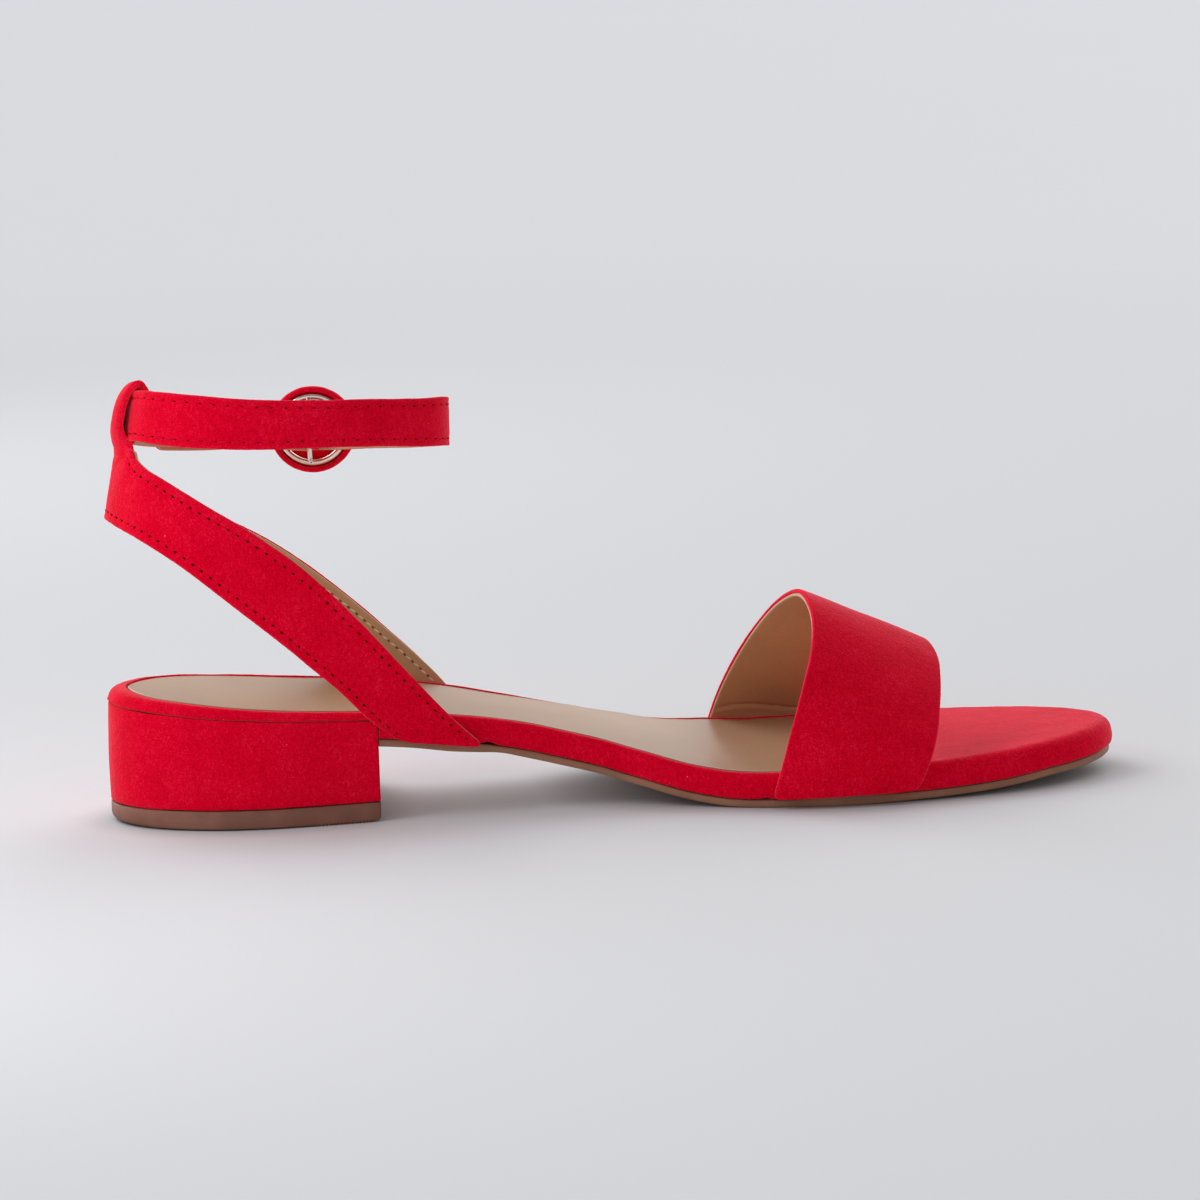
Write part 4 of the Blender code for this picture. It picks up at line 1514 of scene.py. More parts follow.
def stitch_tree() -> bpy.types.NodeTree:
    """Thread or needle holes at every second step of a seam line, made at its first use.

    Returns:
        The tree, with its sizes and its phase as inputs.
    """
    found = bpy.data.node_groups.get("running_stitch")
    if found is not None:
        return found
    sizes = ("Pitch", "Length", "Width", "Height", "Tilt", "Wander")
    kinds = {name: "NodeSocketFloat" for name in sizes}
    graph, given = geometry_tree("running_stitch", {**kinds, "Phase": "NodeSocketInt"})
    size = {name: Value(graph, given.outputs[name]) for name in (*sizes, "Phase")}

    # points along the seam, half a pitch apart
    curve = graph.first("GeometryNodeMeshToCurve", {"Mesh": given.outputs["Geometry"]})
    spacing = {"Curve": curve, "Length": size["Pitch"] * 0.5}
    spaced = graph.first("GeometryNodeResampleCurve", spacing, mode="LENGTH")
    points = graph.node("GeometryNodeCurveToPoints", {"mode": "EVALUATED"}, {"Curve": spaced})

    # each lies along the seam and on the face, slanted a little
    normal = graph.first("GeometryNodeInputNamedAttribute", {"Name": SEAM_NORMAL}, data_type="FLOAT_VECTOR")
    lay = graph.first(
        "FunctionNodeAxesToRotation",
        {"Primary Axis": points.outputs["Tangent"], "Secondary Axis": normal},
        primary_axis="X",
        secondary_axis="Z",
    )
    slant = graph.first("ShaderNodeCombineXYZ", {"Z": size["Tilt"]})
    slanted = graph.first("FunctionNodeEulerToRotation", {0: slant})
    sockets = {"Rotation": lay, "Rotate By": slanted}
    turned = graph.first("FunctionNodeRotateRotation", sockets, rotation_space="LOCAL")

    # every second point, shaken a little
    turn = graph.value("GeometryNodeInputIndex", {}) + size["Phase"]
    odd = graph.value("ShaderNodeMath", {0: turn, 1: 2.0}, operation="MODULO")
    sockets = {"A": odd, "B": 0.5}
    chosen = graph.first("FunctionNodeCompare", sockets, data_type="FLOAT", operation="LESS_THAN")
    sockets = {"Min": (-1.0, -1.0, 0.0), "Max": (1.0, 1.0, 0.0), "Seed": STITCH_SEED}
    wander = graph.first("FunctionNodeRandomValue", sockets, data_type="FLOAT_VECTOR")
    moved = graph.first("ShaderNodeVectorMath", {0: wander, "Scale": size["Wander"]}, operation="SCALE")
    sockets = {"Geometry": points.outputs["Points"], "Offset": moved}
    shaken = graph.first("GeometryNodeSetPosition", sockets)

    # a bead at each
    sockets = {"Segments": BEAD_SIDES, "Rings": BEAD_RINGS, "Radius": 0.5}
    bead = graph.first("GeometryNodeMeshUVSphere", sockets)
    sockets = {"X": size["Length"], "Y": size["Width"], "Z": size["Height"]}
    scale = graph.first("ShaderNodeCombineXYZ", sockets)
    sockets = {"Points": shaken, "Selection": chosen, "Instance": bead, "Rotation": turned, "Scale": scale}
    close_tree(graph, given, graph.first("GeometryNodeInstanceOnPoints", sockets))
    return graph.tree


def rib_tree() -> bpy.types.NodeTree:
    """A bar across at each given point, as long as the point says.

    Returns:
        The tree, with the bars' width and height as inputs.
    """
    graph, given = geometry_tree("cross_ribs", {"Width": "NodeSocketFloat", "Height": "NodeSocketFloat"})
    points = graph.first("GeometryNodeMeshToPoints", {"Mesh": given.outputs["Geometry"]})
    length = graph.first("GeometryNodeInputNamedAttribute", {"Name": RIB_LENGTH}, data_type="FLOAT")
    bar = graph.first("GeometryNodeMeshCube", {"Size": (1.0, 1.0, 1.0)})
    sockets = {"X": given.outputs["Width"], "Y": length, "Z": given.outputs["Height"]}
    scale = graph.first("ShaderNodeCombineXYZ", sockets)
    sockets = {"Points": points, "Instance": bar, "Scale": scale}
    close_tree(graph, given, graph.first("GeometryNodeInstanceOnPoints", sockets))
    return graph.tree


@dataclass
class Grown:
    """A geometry tree with its sizes and finish."""

    tree: bpy.types.NodeTree
    sizes: dict[str, float]
    finish: Finish

    def on(self, guide: bpy.types.Mesh, name: str) -> bpy.types.Object:
        """Grow the tree's shapes on a guide.

        Args:
            guide: the mesh that the tree reads.
            name: the new piece's name.

        Returns:
            A plain mesh object.
        """
        seed = placed(name + "_guide", guide)
        grower = seed.modifiers.new(name, "NODES")
        grower.node_group = self.tree
        values = {**self.sizes, "Material": self.finish.material()}
        for socket in self.tree.interface.items_tree:
            if socket.in_out == "INPUT" and socket.name in values:
                grower[socket.identifier] = values[socket.name]
        evaluated = seed.evaluated_get(bpy.context.evaluated_depsgraph_get())
        mesh = bpy.data.meshes.new_from_object(evaluated)
        seed.modifiers.remove(grower)
        bpy.data.objects.remove(seed)
        mesh.name = name
        return placed(name, mesh)


@dataclass
class Seam:
    """A row of lockstitches along both edges of a strap."""

    inset: float
    pitch: float
    start: float = 0.02
    stop: float = 0.98
    groove: float = 0.16 * MM
    groove_width: float = 0.65 * MM
    thread_width: float = 0.55 * MM
    thread_height: float = 0.50 * MM
    hole_length: float = 0.95 * MM
    hole_width: float = 0.70 * MM
    hole_height: float = 0.36 * MM
    tilt: float = math.radians(7)
    wander: float = 0.06 * MM
    thread_share: float = 0.84
    bobbin_share: float = 0.68


def closer_ends(rows: Points) -> Points:
    """Rows along a strap, with more of them in its first and last few steps.

    Args:
        rows: evenly spaced rows.

    Returns:
        Their columns at closer places near both ends.
    """
    few, finer, crowding = 8, 3, 1.6
    start = few * np.linspace(0.0, 1.0, finer * few, endpoint=False) ** crowding
    last = len(rows) - 1
    places = np.concatenate([start, np.arange(few, last - few + 1), (last - start)[::-1]])
    return np.stack([np.interp(places, np.arange(last + 1), column) for column in rows.T], axis=1)


@dataclass
class Band:
    """A strap between two edge lines: suede outside, lining inside."""

    lower: Points
    upper: Points
    thick: float
    outside: float = 0.0
    bulge: Sizes = 0.0
    bow: Points | None = None
    lining: float = 0.7 * MM
    lining_finish: Finish = STRAP_LINING
    lining_slot: Slot = Slot.LINING
    lining_inset: Sizes = 0.35 * MM
    lining_low: Sizes | None = None
    lining_sink: float = 0.02 * MM
    lining_round: float = 0.15 * MM
    lining_margin: float = 0.03
    edge_round: float = 0.55 * MM
    seat_round: float = 0.2 * MM
    cut_edge_and_highlight_reach: float = 0.4 * MM
    corner: float = 0.0
    grid: float = 0.5 * MM
    lining_grid: float = 0.65 * MM
    seam: Seam | None = None
    ruffles: Sequence[Ruffle] = ()
    unsewn: Points | None = None
    fold: Callable[["Band", Points], Points] | None = None

    def __post_init__(self) -> None:
        """Work out the strap's own axes."""
        middle = (self.lower + self.upper) / 2
        width = self.upper - self.lower
        self.run = run_of(middle)
        self.reach = np.linalg.norm(width, axis=1)
        self.across = unit(width)
        self.normal = unit(np.cross(width, unit(np.gradient(middle, axis=0))))
        self.face = self.thick * self.outside
        self.back = self.face - self.thick
        to_end = np.minimum(self.run, self.run[-1] - self.run)
        short = np.clip(self.corner - to_end, 0.0, self.corner)
        self.squeeze = self.corner - np.sqrt(self.corner**2 - short**2)

    def make(self, bench: Bench, name: str, *nodes: str) -> None:
        """Make and dress the suede, the lining and the seam, if it has one.

        Args:
            bench: where they are made.
            name: the strap's name, before theirs.
            nodes: the solids that it stands for.
        """
        bench.dress(self.suede(bench, f"{name}_suede"), RED_SUEDE, Slot.SUEDE, *nodes)
        bench.dress(self.lined(bench, f"{name}_lining"), self.lining_finish, self.lining_slot)
        if self.seam is not None:
            self.sew(bench, name)

    def line(self, distance: Points, depth: Sizes) -> Points:
        """A line along the strap.

        Args:
            distance: from the lower edge, at each step along.
            depth: out from the edge lines.

        Returns:
            A point at each step along.
        """
        share = np.clip(distance / self.reach, 0.0, 1.0)
        arch = 4 * share * (1 - share)
        out = self.bulge * arch + depth
        place = self.lower + self.across * distance[:, None] + self.normal * np.reshape(out, (-1, 1))
        return place if self.bow is None else place + self.bow * arch[:, None]

    def relief(self, distance: Points) -> Points:
        """How far the suede face stands over its plain level.

        Args:
            distance: from the lower edge, at each step along.

        Returns:
            A height at each step along.
        """
        height = np.zeros_like(distance)
        if self.seam is not None:
            for gap in (distance, self.reach - distance):
                height -= self.seam.groove * bell(gap - self.seam.inset, self.seam.groove_width)
        return height

    def ring(self, rows: Sequence[tuple[Sizes, Sizes]], inset: Sizes) -> tuple[Points, Points, Points]:
        """Sections, strap places and edge marks of rows.

        Args:
            rows: distance from the lower edge and depth of each row.
            inset: how far the piece is set back from the strap's edges.

        Returns:
            Points, their places along and across the strap, and how near an edge they are.
        """
        points, cloth, edges = [], [], []
        for distance, depth in rows:
            spread = self.squeeze + distance * (1 - 2 * self.squeeze / self.reach)
            points.append(self.line(spread, depth))
            cloth.append(np.stack([self.run, spread], axis=1))
            # edge mark: the lining's cut-edge tone, and on the suede a painted highlight
            edges.append(bell(np.minimum(distance, self.reach - distance) - inset, self.cut_edge_and_highlight_reach))
        return tuple(np.stack(part, axis=1) for part in (points, cloth, edges))

    def rim(self, upper: bool, inset: Sizes, radius: float, depth: float, angles: Sequence[float]) -> list:
        """Rows round an edge from its side towards a face.

        Args:
            upper: whether it is the upper edge.
            inset: how far the piece is set back there.
            radius: the rounding; below zero where the face looks inwards.
            depth: of that face.
            angles: from 0 at the side to 90 on the face.

        Returns:
            Distance and depth of each row.
        """
        rows = []
        for step, fall in quarter(radius, *angles):
            gap = inset + abs(step) + np.zeros(len(self.run))
            rows.append((self.reach - gap if upper else gap, depth - fall))
        return rows

    def suede(self, bench: Bench, name: str) -> bpy.types.Object:
        """The outer suede with its turned edges.

        Args:
            bench: where it is made.
            name: the piece's name.

        Returns:
            The piece, not yet dressed.
        """
        r, seat, small = self.edge_round, self.back + self.lining, -self.seat_round
        steps = max(6, round(float(self.reach.mean()) / self.grid))
        rows = self.rim(False, 0.0, small, seat, [90, 45, 0])
        rows += self.rim(False, 0.0, r, self.face, [15, 35, 55, 75])
        for share in np.linspace(0.0, 1.0, steps):
            distance = r + share * (self.reach - 2 * r)
            rows.append((distance, self.face + self.relief(distance)))
        rows += self.rim(True, 0.0, r, self.face, [75, 55, 35, 15])
        rows += self.rim(True, 0.0, small, seat, [0, 45, 90])
        rows += [(self.reach * share, seat) for share in (0.75, 0.5, 0.25)]
        points, cloth, edge = self.ring(rows, 0.0)
        piece = bench.skin(name, points, cloth=cloth, edge=edge)
        ruffle(piece, *self.ruffles)
        return piece

    def lined(self, bench: Bench, name: str) -> bpy.types.Object:
        """The lining, set back from the suede's edges.

        Args:
            bench: where it is made.
            name: the piece's name.

        Returns:
            The piece, not yet dressed.
        """
        seat = self.back + self.lining - self.lining_sink
        high, small = self.lining_inset, -self.lining_round
        low = high if self.lining_low is None else self.lining_low
        span = self.reach - low - high
        steps = max(5, round(float(self.reach.mean()) / self.lining_grid))
        rows = [(low + share * span, seat) for share in (0.0, 0.25, 0.5, 0.75, 1.0)]
        rows += self.rim(True, high, small, self.back, [0, 30, 60, 90])
        for share in np.linspace(1 - self.lining_margin, self.lining_margin, steps):
            distance = low + share * span
            raised = self.fold(self, distance) if self.fold else 0.0
            rows.append((distance, self.back - raised))
        rows += self.rim(False, low, small, self.back, [90, 60, 30, 0])
        points, cloth, edge = self.ring(rows, high)
        return bench.skin(name, points, cloth=cloth, edge=edge)

    def seam_guide(self, bench: Bench, face: Face) -> bpy.types.Mesh:
        """The two seam lines on one face, with the face's normal at each point.

        Args:
            bench: whose shift places them.
            face: the face that is sewn.

        Returns:
            A mesh of points and edges.
        """
        seam = self.seam
        total = self.run[-1]
        kept = (self.run >= seam.start * total) & (self.run <= seam.stop * total)
        level = self.face - seam.groove if face is Face.SUEDE else self.back
        inset = np.full(len(self.run), seam.inset)
        low, high = self.line(inset, level), self.line(self.reach - inset, level)
        above = kept if self.unsewn is None else kept & ~self.unsewn
        places, normals, chain = [], [], []
        for line, used in ((low, kept), (high, above)):
            steps = np.flatnonzero(used)
            joined = np.flatnonzero(np.diff(steps) == 1) + len(places)
            chain += [(i, i + 1) for i in joined.tolist()]
            places += (line[used] + bench.shift).tolist()
            normals += self.normal[used].tolist()
        places, normals = np.array(places), np.array(normals)
        if face is Face.SUEDE:
            places = uneven(places, normals, self.ruffles)
        mesh = bpy.data.meshes.new("seam_guide")
        mesh.from_pydata(places.tolist(), chain, [])
        mark = mesh.attributes.new(SEAM_NORMAL, "FLOAT_VECTOR", "POINT")
        mark.data.foreach_set("vector", (normals * face.value).astype(np.float32).ravel())
        return mesh

    def sew(self, bench: Bench, name: str) -> None:
        """Thread and needle holes on the suede, bobbin thread and holes on the lining.

        Args:
            bench: where they are made and dressed.
            name: the strap's name, before theirs.
        """
        seam = self.seam
        names = ("Length", "Width", "Height", "Tilt")
        long, short = seam.pitch * seam.thread_share, seam.pitch * seam.bobbin_share
        thread = dict(zip(names, (long, seam.thread_width, seam.thread_height, seam.tilt)))
        bobbin = {**thread, "Length": short}
        hole = dict(zip(names, (seam.hole_length, seam.hole_width, seam.hole_height, 0.0)))
        plans = (
            ("thread", Face.SUEDE, 0, thread, RED_THREAD),
            ("needle_holes", Face.SUEDE, 1, hole, NEEDLE_HOLE),
            ("bobbin_thread", Face.LINING, 0, bobbin, PALE_THREAD),
            ("lining_holes", Face.LINING, 1, hole, LINING_HOLE),
        )
        for part, face, phase, sizes, finish in plans:
            values = {**sizes, "Pitch": seam.pitch, "Wander": seam.wander, "Phase": phase}
            guide = self.seam_guide(bench, face)
            piece = Grown(stitch_tree(), values, finish).on(guide, f"{name}_{part}")
            bench.dress(piece, finish, Slot.SUEDE if face is Face.SUEDE else Slot.LINING)


@dataclass
class VampBand:
    """The broad band over the forefoot."""

    bench: Bench
    steps: int = 260
    thick: float = 1.9 * MM
    lining: float = 0.75 * MM
    corner: float = 1.8 * MM
    crease_height: float = 9.5 * MM
    crease_depth: float = 0.45 * MM
    crease_width: float = 0.55 * MM
    wave_height: float = 0.8 * MM
    wave_length: float = 5 * MM
    ridge_gap: float = 1.2 * MM
    ridge_width: float = 1.0 * MM
    ridge_height: float = 0.10 * MM

    def build(self) -> None:
        """Make and dress the suede and its lining."""
        rows = closer_ends(through(np.array(VAMP_EDGES) * MM, self.steps))
        band = Band(
            rows[:, :3],
            rows[:, 3:6],
            self.thick,
            bulge=rows[:, 6],
            lining=self.lining,
            corner=self.corner,
            ruffles=(Ruffle(0.16 * MM, 11 * MM), Ruffle(0.05 * MM, 1.2 * MM)),
            fold=self.crease,
        )
        band.make(self.bench, "vamp", "vamp_band")

    def crease(self, band: Band, distance: Points) -> Points:
        """How far the lining stands off in the fold over the far side's turned-in foot.

        Args:
            band: the vamp's band.
            distance: from its lower edge, at each step along.

        Returns:
            A height at each step along.
        """
        place = self.crease_height + self.wave_height * np.sin(distance / self.wave_length)
        past = band.run[-1] - band.run - place
        ridge = self.ridge_height * bell(past + self.ridge_gap, self.ridge_width)
        return ridge - self.crease_depth * bell(past, self.crease_width)


@dataclass
class HeelSling:
    """The strap round the back of the heel, with the loop folded from its middle."""

    bench: Bench
    steps: int = 460
    loop_steps: int = 140
    thick: float = 2.0 * MM
    lining: float = 0.8 * MM
    lining_inset: float = 0.3 * MM
    lining_peek: Hump = Hump(0.0, 14 * MM, 0.5 * MM)
    corner: float = 2.6 * MM
    neck: float = 9.4 * MM
    loop_thick: float = 1.75 * MM
    loop_lining: float = 0.5 * MM
    loop_lining_inset: float = 0.05 * MM
    loop_edge_round: float = 0.4 * MM
    loop_slope: float = 0.18
    loop_wrap: float = 10.5 * MM
    seam: Seam = field(
        default_factory=lambda: Seam(
            2.3 * MM,
            2.7 * MM,
            0.012,
            0.985,
            thread_width=0.42 * MM,
            thread_height=0.34 * MM,
            hole_length=0.85 * MM,
            hole_width=0.60 * MM,
        )
    )

    def build(self) -> None:
        """Make and dress the sling, its lining, its thread and its loop."""
        rows = closer_ends(through(np.array(SLING_EDGES) * MM, self.steps))
        run = run_of(rows[:, :3])
        to_end = np.minimum(run, run[-1] - run)
        band = Band(
            rows[:, :3],
            rows[:, 3:6],
            self.thick,
            seam=self.seam,
            lining=self.lining,
            lining_inset=self.lining_inset - self.lining_peek.at(to_end),
            lining_low=self.lining_inset,
            corner=self.corner,
            unsewn=np.abs(rows[:, 4]) < self.neck,
            ruffles=(Ruffle(0.12 * MM, 8 * MM), Ruffle(0.05 * MM, 1.2 * MM)),
        )
        band.make(self.bench, "sling", "heel_sling")
        self.loop()

    def loop(self) -> None:
        """The strip that rises from the sling and folds down inside, round the ankle strap."""
        folds = through(np.array(LOOP_FOLDS) * MM, self.loop_steps)
        line = np.stack([folds[:, 0], np.zeros(len(folds)), folds[:, 1]], axis=1)
        wrap = folds[:, 2] ** 2 / (2 * self.loop_wrap)
        line[:, 0] += wrap
        turn = np.radians(folds[:, 3] / MM)
        across = np.stack([-np.sin(turn), np.cos(turn), np.full(len(turn), -self.loop_slope)], axis=1)
        side = folds[:, 2:3] * across
        band = Band(
            line + side,
            line - side,
            self.loop_thick,
            bow=np.outer(wrap, [-1.0, 0.0, 0.0]),
            lining=self.loop_lining,
            lining_finish=RED_SUEDE,
            lining_slot=Slot.SUEDE,
            lining_inset=self.loop_lining_inset,
            edge_round=self.loop_edge_round,
            ruffles=(Ruffle(0.08 * MM, 4 * MM),),
        )
        band.make(self.bench, "sling_loop")


class BuckleFrame:
    """Axes at the buckle: along the strap towards the toe, out from the ankle, and up."""

    def __init__(self, origin: Points, turn: float) -> None:
        """Stand the axes at a point.

        Args:
            origin: the point, in the tables' frame.
            turn: how far they are turned in plan.
        """
        self.origin = origin
        self.along = np.array([math.cos(turn), -math.sin(turn), 0.0])
        self.up = np.array([0.0, 0.0, 1.0])
        self.out = np.cross(self.up, self.along)

    def place(self, local: Any) -> Points:
        """Points given along, out and up, in the shoe's axes."""
        return self.origin + np.asarray(local, float) @ np.stack([self.along, self.out, self.up])


@dataclass
class AnkleStrap:
    """The strap round the ankle, lapped at the buckle and folded round its bar."""

    bench: Bench
    steps: int = 460
    ring_steps: int = 80
    thick: float = 1.5 * MM
    lining: float = 0.55 * MM
    lining_inset: float = 0.15 * MM
    edge_round: float = 0.45 * MM
    tail: float = 40 * MM
    tail_gap: float = 5 * MM
    droop: float = 0.9 * MM
    droop_start: float = 12 * MM
    droop_reach: float = 14 * MM
    lap_half: float = 2.0 * MM
    step_end: float = 6.0 * MM
    step_out: float = 0.9 * MM
    ring_start: float = 11 * MM
    ring_gap: float = 3 * MM
    tip_round: float = 2.5 * MM
    bar_wire: float = 0.6 * MM
    bar_back: float = 0.7 * MM
    fold_steps: int = 25
    fold_tail: float = 6 * MM
    fold_close: float = 2.1
    fold_narrow: float = 0.78
    buckle_turn: float = math.radians(6)
    buckle_drop: float = 0.55 * MM
    seam: Seam = field(
        default_factory=lambda: Seam(
            1.8 * MM, 3.5 * MM, 0.012, 0.985, hole_length=0.7 * MM, hole_width=0.38 * MM
        )
    )

    def __post_init__(self) -> None:
        """Work out the ring that the strap follows and the buckle's axes."""
        self.ring = through(np.array(ANKLE_RING) * MM, self.ring_steps, closed=True)
        origin = self.ring[0, :3] - np.array([0.0, 0.0, self.buckle_drop])
        self.frame = BuckleFrame(origin, self.buckle_turn)
        self.lap = self.thick + FIT_GAP
        self.turn = self.thick / 2 + FIT_GAP + self.bar_wire

    def path(self) -> Points:
        """Middle line, lean and width of the strap from its tip to the fold on the bar.

        Returns:
            A row at each step along.
        """
        lines, looks = self.ring[:, :3], self.ring[:, 3:]
        run = run_of(lines)
        whole = run[-1] + np.linalg.norm(lines[0] - lines[-1])
        ahead = np.roll(lines, -1, axis=0) - np.roll(lines, 1, axis=0)
        ahead[:, 2] = 0.0
        out = np.cross([0.0, 0.0, 1.0], unit(ahead))

        on_tail = (run > whole - self.tail) & (run < whole - self.tail_gap)
        tail = lines[on_tail] + out[on_tail] * self.lap
        sunk = np.clip((whole - run[on_tail] - self.droop_start) / self.droop_reach, 0.0, 1.0)
        tail[:, 2] -= self.droop * sunk * sunk * (3 - 2 * sunk)
        up = self.buckle_drop
        over_bar = self.frame.place([
            (-self.lap_half, self.lap, up),
            (self.lap_half, self.lap, up),
            (self.step_end, self.step_out, up),
        ])
        on_ring = (run > self.ring_start) & (run < whole - self.ring_gap)
        bends = np.vstack([
            np.hstack([tail, looks[on_tail]]),
            np.hstack([over_bar, np.tile(looks[0], (len(over_bar), 1))]),
            self.ring[on_ring],
        ])
        strap = through(bends, self.steps)

        count, turn = self.fold_steps, self.turn
        angles = np.radians(np.linspace(90, -90, count))
        fold = np.stack([turn * np.cos(angles), turn * np.sin(angles) - turn, np.full(count, up)], axis=1)
        ends = [(-self.fold_tail / 2, -2 * turn, up), (-self.fold_tail, -self.fold_close * turn, up)]
        fold = np.vstack([fold, ends])
        fold[:, 0] -= self.bar_back
        folded = np.hstack([self.frame.place(fold), np.tile(looks[0], (len(fold), 1))])
        folded[:, -1] *= np.interp(np.arange(len(fold)), [0, count - 1], [1.0, self.fold_narrow])
        return np.vstack([strap, folded])

    def build(self) -> None:
        """Make and dress the strap, its lining and its thread."""
        path = closer_ends(self.path())
        line, lean, width = path[:, :3], path[:, 3], path[:, 4]
        along = unit(np.gradient(line, axis=0))
        up = np.stack([lean / MM, np.zeros(len(line)), np.ones(len(line))], axis=1)
        up -= along * np.sum(along * up, axis=1, keepdims=True)
        half = unit(up) * width[:, None] / 2
        band = Band(
            line - half,
            line + half,
            self.thick,
            outside=0.5,
            lining=self.lining,
            lining_inset=self.lining_inset,
            edge_round=self.edge_round,
            corner=self.tip_round,
            seam=self.seam,
            ruffles=(Ruffle(0.08 * MM, 7 * MM), Ruffle(0.04 * MM, 1.2 * MM)),
        )
        band.make(self.bench, "ankle_strap", "ankle_strap")


def wire(path: Points, radius: Sizes, closed: bool = False) -> Points:
    """Round sections along a wire.

    Args:
        path: its middle line.
        radius: one size, or one at each point.
        closed: whether it runs back to its start.

    Returns:
        A ring of points at each point of the path.
    """
    if closed:
        along = unit(np.roll(path, -1, axis=0) - np.roll(path, 1, axis=0))
    else:
        along = unit(np.gradient(path, axis=0))
    askew = np.array([0.31, 0.93, 0.17])
    side = unit(np.cross(along, askew))
    up = np.cross(side, along)
    angles = np.arange(WIRE_SIDES) * math.tau / WIRE_SIDES
    spokes = side[:, None] * np.cos(angles)[:, None] + up[:, None] * np.sin(angles)[:, None]
    return path[:, None] + spokes * np.reshape(radius, (-1, 1, 1))


@dataclass
class Buckle:
    """Suede-covered ring, metal ring with its bar, and prong."""

    bench: Bench
    strap: AnkleStrap
    steps: int = 120
    cover_steps: int = 36
    bar_steps: int = 90
    prong_steps: int = 60
    cover_radius: float = 10.85 * MM
    cover_opening: float = 5.1 * MM
    ring_radius: float = 8.4 * MM
    ring_wire: float = 0.85 * MM
    cover_depth: float = 0.7 * MM
    bar_reach: float = 6.9 * MM
    bar_bend: float = 0.7 * MM
    prong_wire: float = 0.55 * MM
    prong_blunt: int = 12
    prong_tip: float = 0.02

    def __post_init__(self) -> None:
        """Work out how far out the ring lies and the spokes of its circle."""
        strap = self.strap
        self.ring_out = strap.lap + strap.thick / 2 + FIT_GAP + self.ring_wire
        angles = np.arange(self.steps) * math.tau / self.steps
        self.spokes = np.stack([np.cos(angles), np.zeros(self.steps), np.sin(angles)], axis=1)

    def build(self) -> None:
        """Make and dress the three pieces."""
        self.cover()
        self.metal()
        self.prong()

    def cover(self) -> None:
        """The suede-wrapped ring on the outside."""
        back = self.ring_out + self.ring_wire + FIT_GAP + self.cover_depth
        front = self.ring_out - self.ring_wire
        skirt = self.ring_radius + self.ring_wire + FIT_GAP
        radius, opening = self.cover_radius, self.cover_opening
        shape = np.array([
            (opening, back, 0.0),
            ((opening + skirt) / 2, back, 0.0),
            (skirt, back - 0.2 * MM, 0.0),
            (skirt + 0.1 * MM, front + 0.2 * MM, 0.0),
            (radius - 0.7 * MM, front, 0.0),
            (radius, self.ring_out, 0.0),
            (radius - 0.2 * MM, back + 0.4 * MM, 0.0),
            (radius - 1.0 * MM, back + 1.3 * MM, 0.0),
            (radius - 2.0 * MM, back + 1.6 * MM, 0.0),
            (opening + 0.9 * MM, back + 1.3 * MM, 0.0),
            (opening + 0.2 * MM, back + 0.6 * MM, 0.0),
        ])
        smooth = through(shape, self.cover_steps, closed=True)
        outward = np.array([0.0, 1.0, 0.0])
        rings = self.spokes[:, None] * smooth[None, :, :1] + outward * smooth[None, :, 1:2]
        piece = self.bench.skin("buckle_cover_suede", self.strap.frame.place(rings), closed=True)
        ruffle(piece, Ruffle(0.06 * MM, 2 * MM))
        self.bench.dress(piece, RED_SUEDE, Slot.SUEDE, "buckle_cover")

    def metal(self) -> None:
        """The metal ring and the bar that the strap folds round."""
        strap, place = self.strap, self.strap.frame.place
        circle = place(self.spokes * self.ring_radius + np.array([0.0, self.ring_out, 0.0]))
        ring = self.bench.skin("buckle_ring", wire(circle, self.ring_wire, closed=True), closed=True)
        self.bench.dress(ring, NICKEL, Slot.METAL, "buckle_frame")
        leg, bend, back = self.bar_reach, self.bar_bend, -strap.bar_back
        half = [
            (back, self.ring_out, self.ring_radius - 0.1 * MM),
            (back, self.ring_out - 1.0 * MM, leg + 0.6 * MM),
            (back, self.ring_out - 2.2 * MM, leg + 0.2 * MM),
            (back, bend - strap.turn, leg + 0.1 * MM),
            (back, 0.25 * bend - strap.turn, leg - 0.2 * MM),
            (back, -strap.turn, leg - bend),
        ]
        bends = half + [(a, b, -c) for a, b, c in reversed(half)]
        bar = self.bench.skin("buckle_bar", wire(place(through(bends, self.bar_steps)), strap.bar_wire))
        self.bench.dress(bar, NICKEL, Slot.METAL)

    def prong(self) -> None:
        """The prong that goes through the strap's hole to the ring."""
        strap = self.strap
        out = strap.lap + strap.thick / 2 + FIT_GAP + self.prong_wire
        tip = self.ring_radius - self.ring_wire - FIT_GAP
        bends = [
            (0.0, strap.lap - 0.3 * MM, 0.0),
            (0.0, out - 0.6 * MM, 0.0),
            (0.6 * MM, out, 0.0),
            (tip * 0.6, out + 0.2 * MM, 0.0),
            (tip, out + 0.1 * MM, 0.0),
        ]
        path = strap.frame.place(through(np.array(bends), self.prong_steps))
        along = np.linspace(-1.0, 1.0, self.prong_steps)
        taper = self.prong_wire * np.sqrt(np.clip(1 - along**self.prong_blunt, self.prong_tip, 1.0))
        piece = self.bench.skin("buckle_prong_wire", wire(path, taper))
        self.bench.dress(piece, NICKEL, Slot.METAL, "buckle_prong")


class Glow(NamedTuple):
    """Soft light from one side: its direction, where it begins and how strong it is in its middle."""

    toward: tuple[float, float, float]
    begin: float
    strength: float


class Lamp(NamedTuple):
    """A round softbox aimed at the shoe: where it stands, its size and its power."""

    name: str
    place: tuple[float, float, float]
    size: float
    power: float


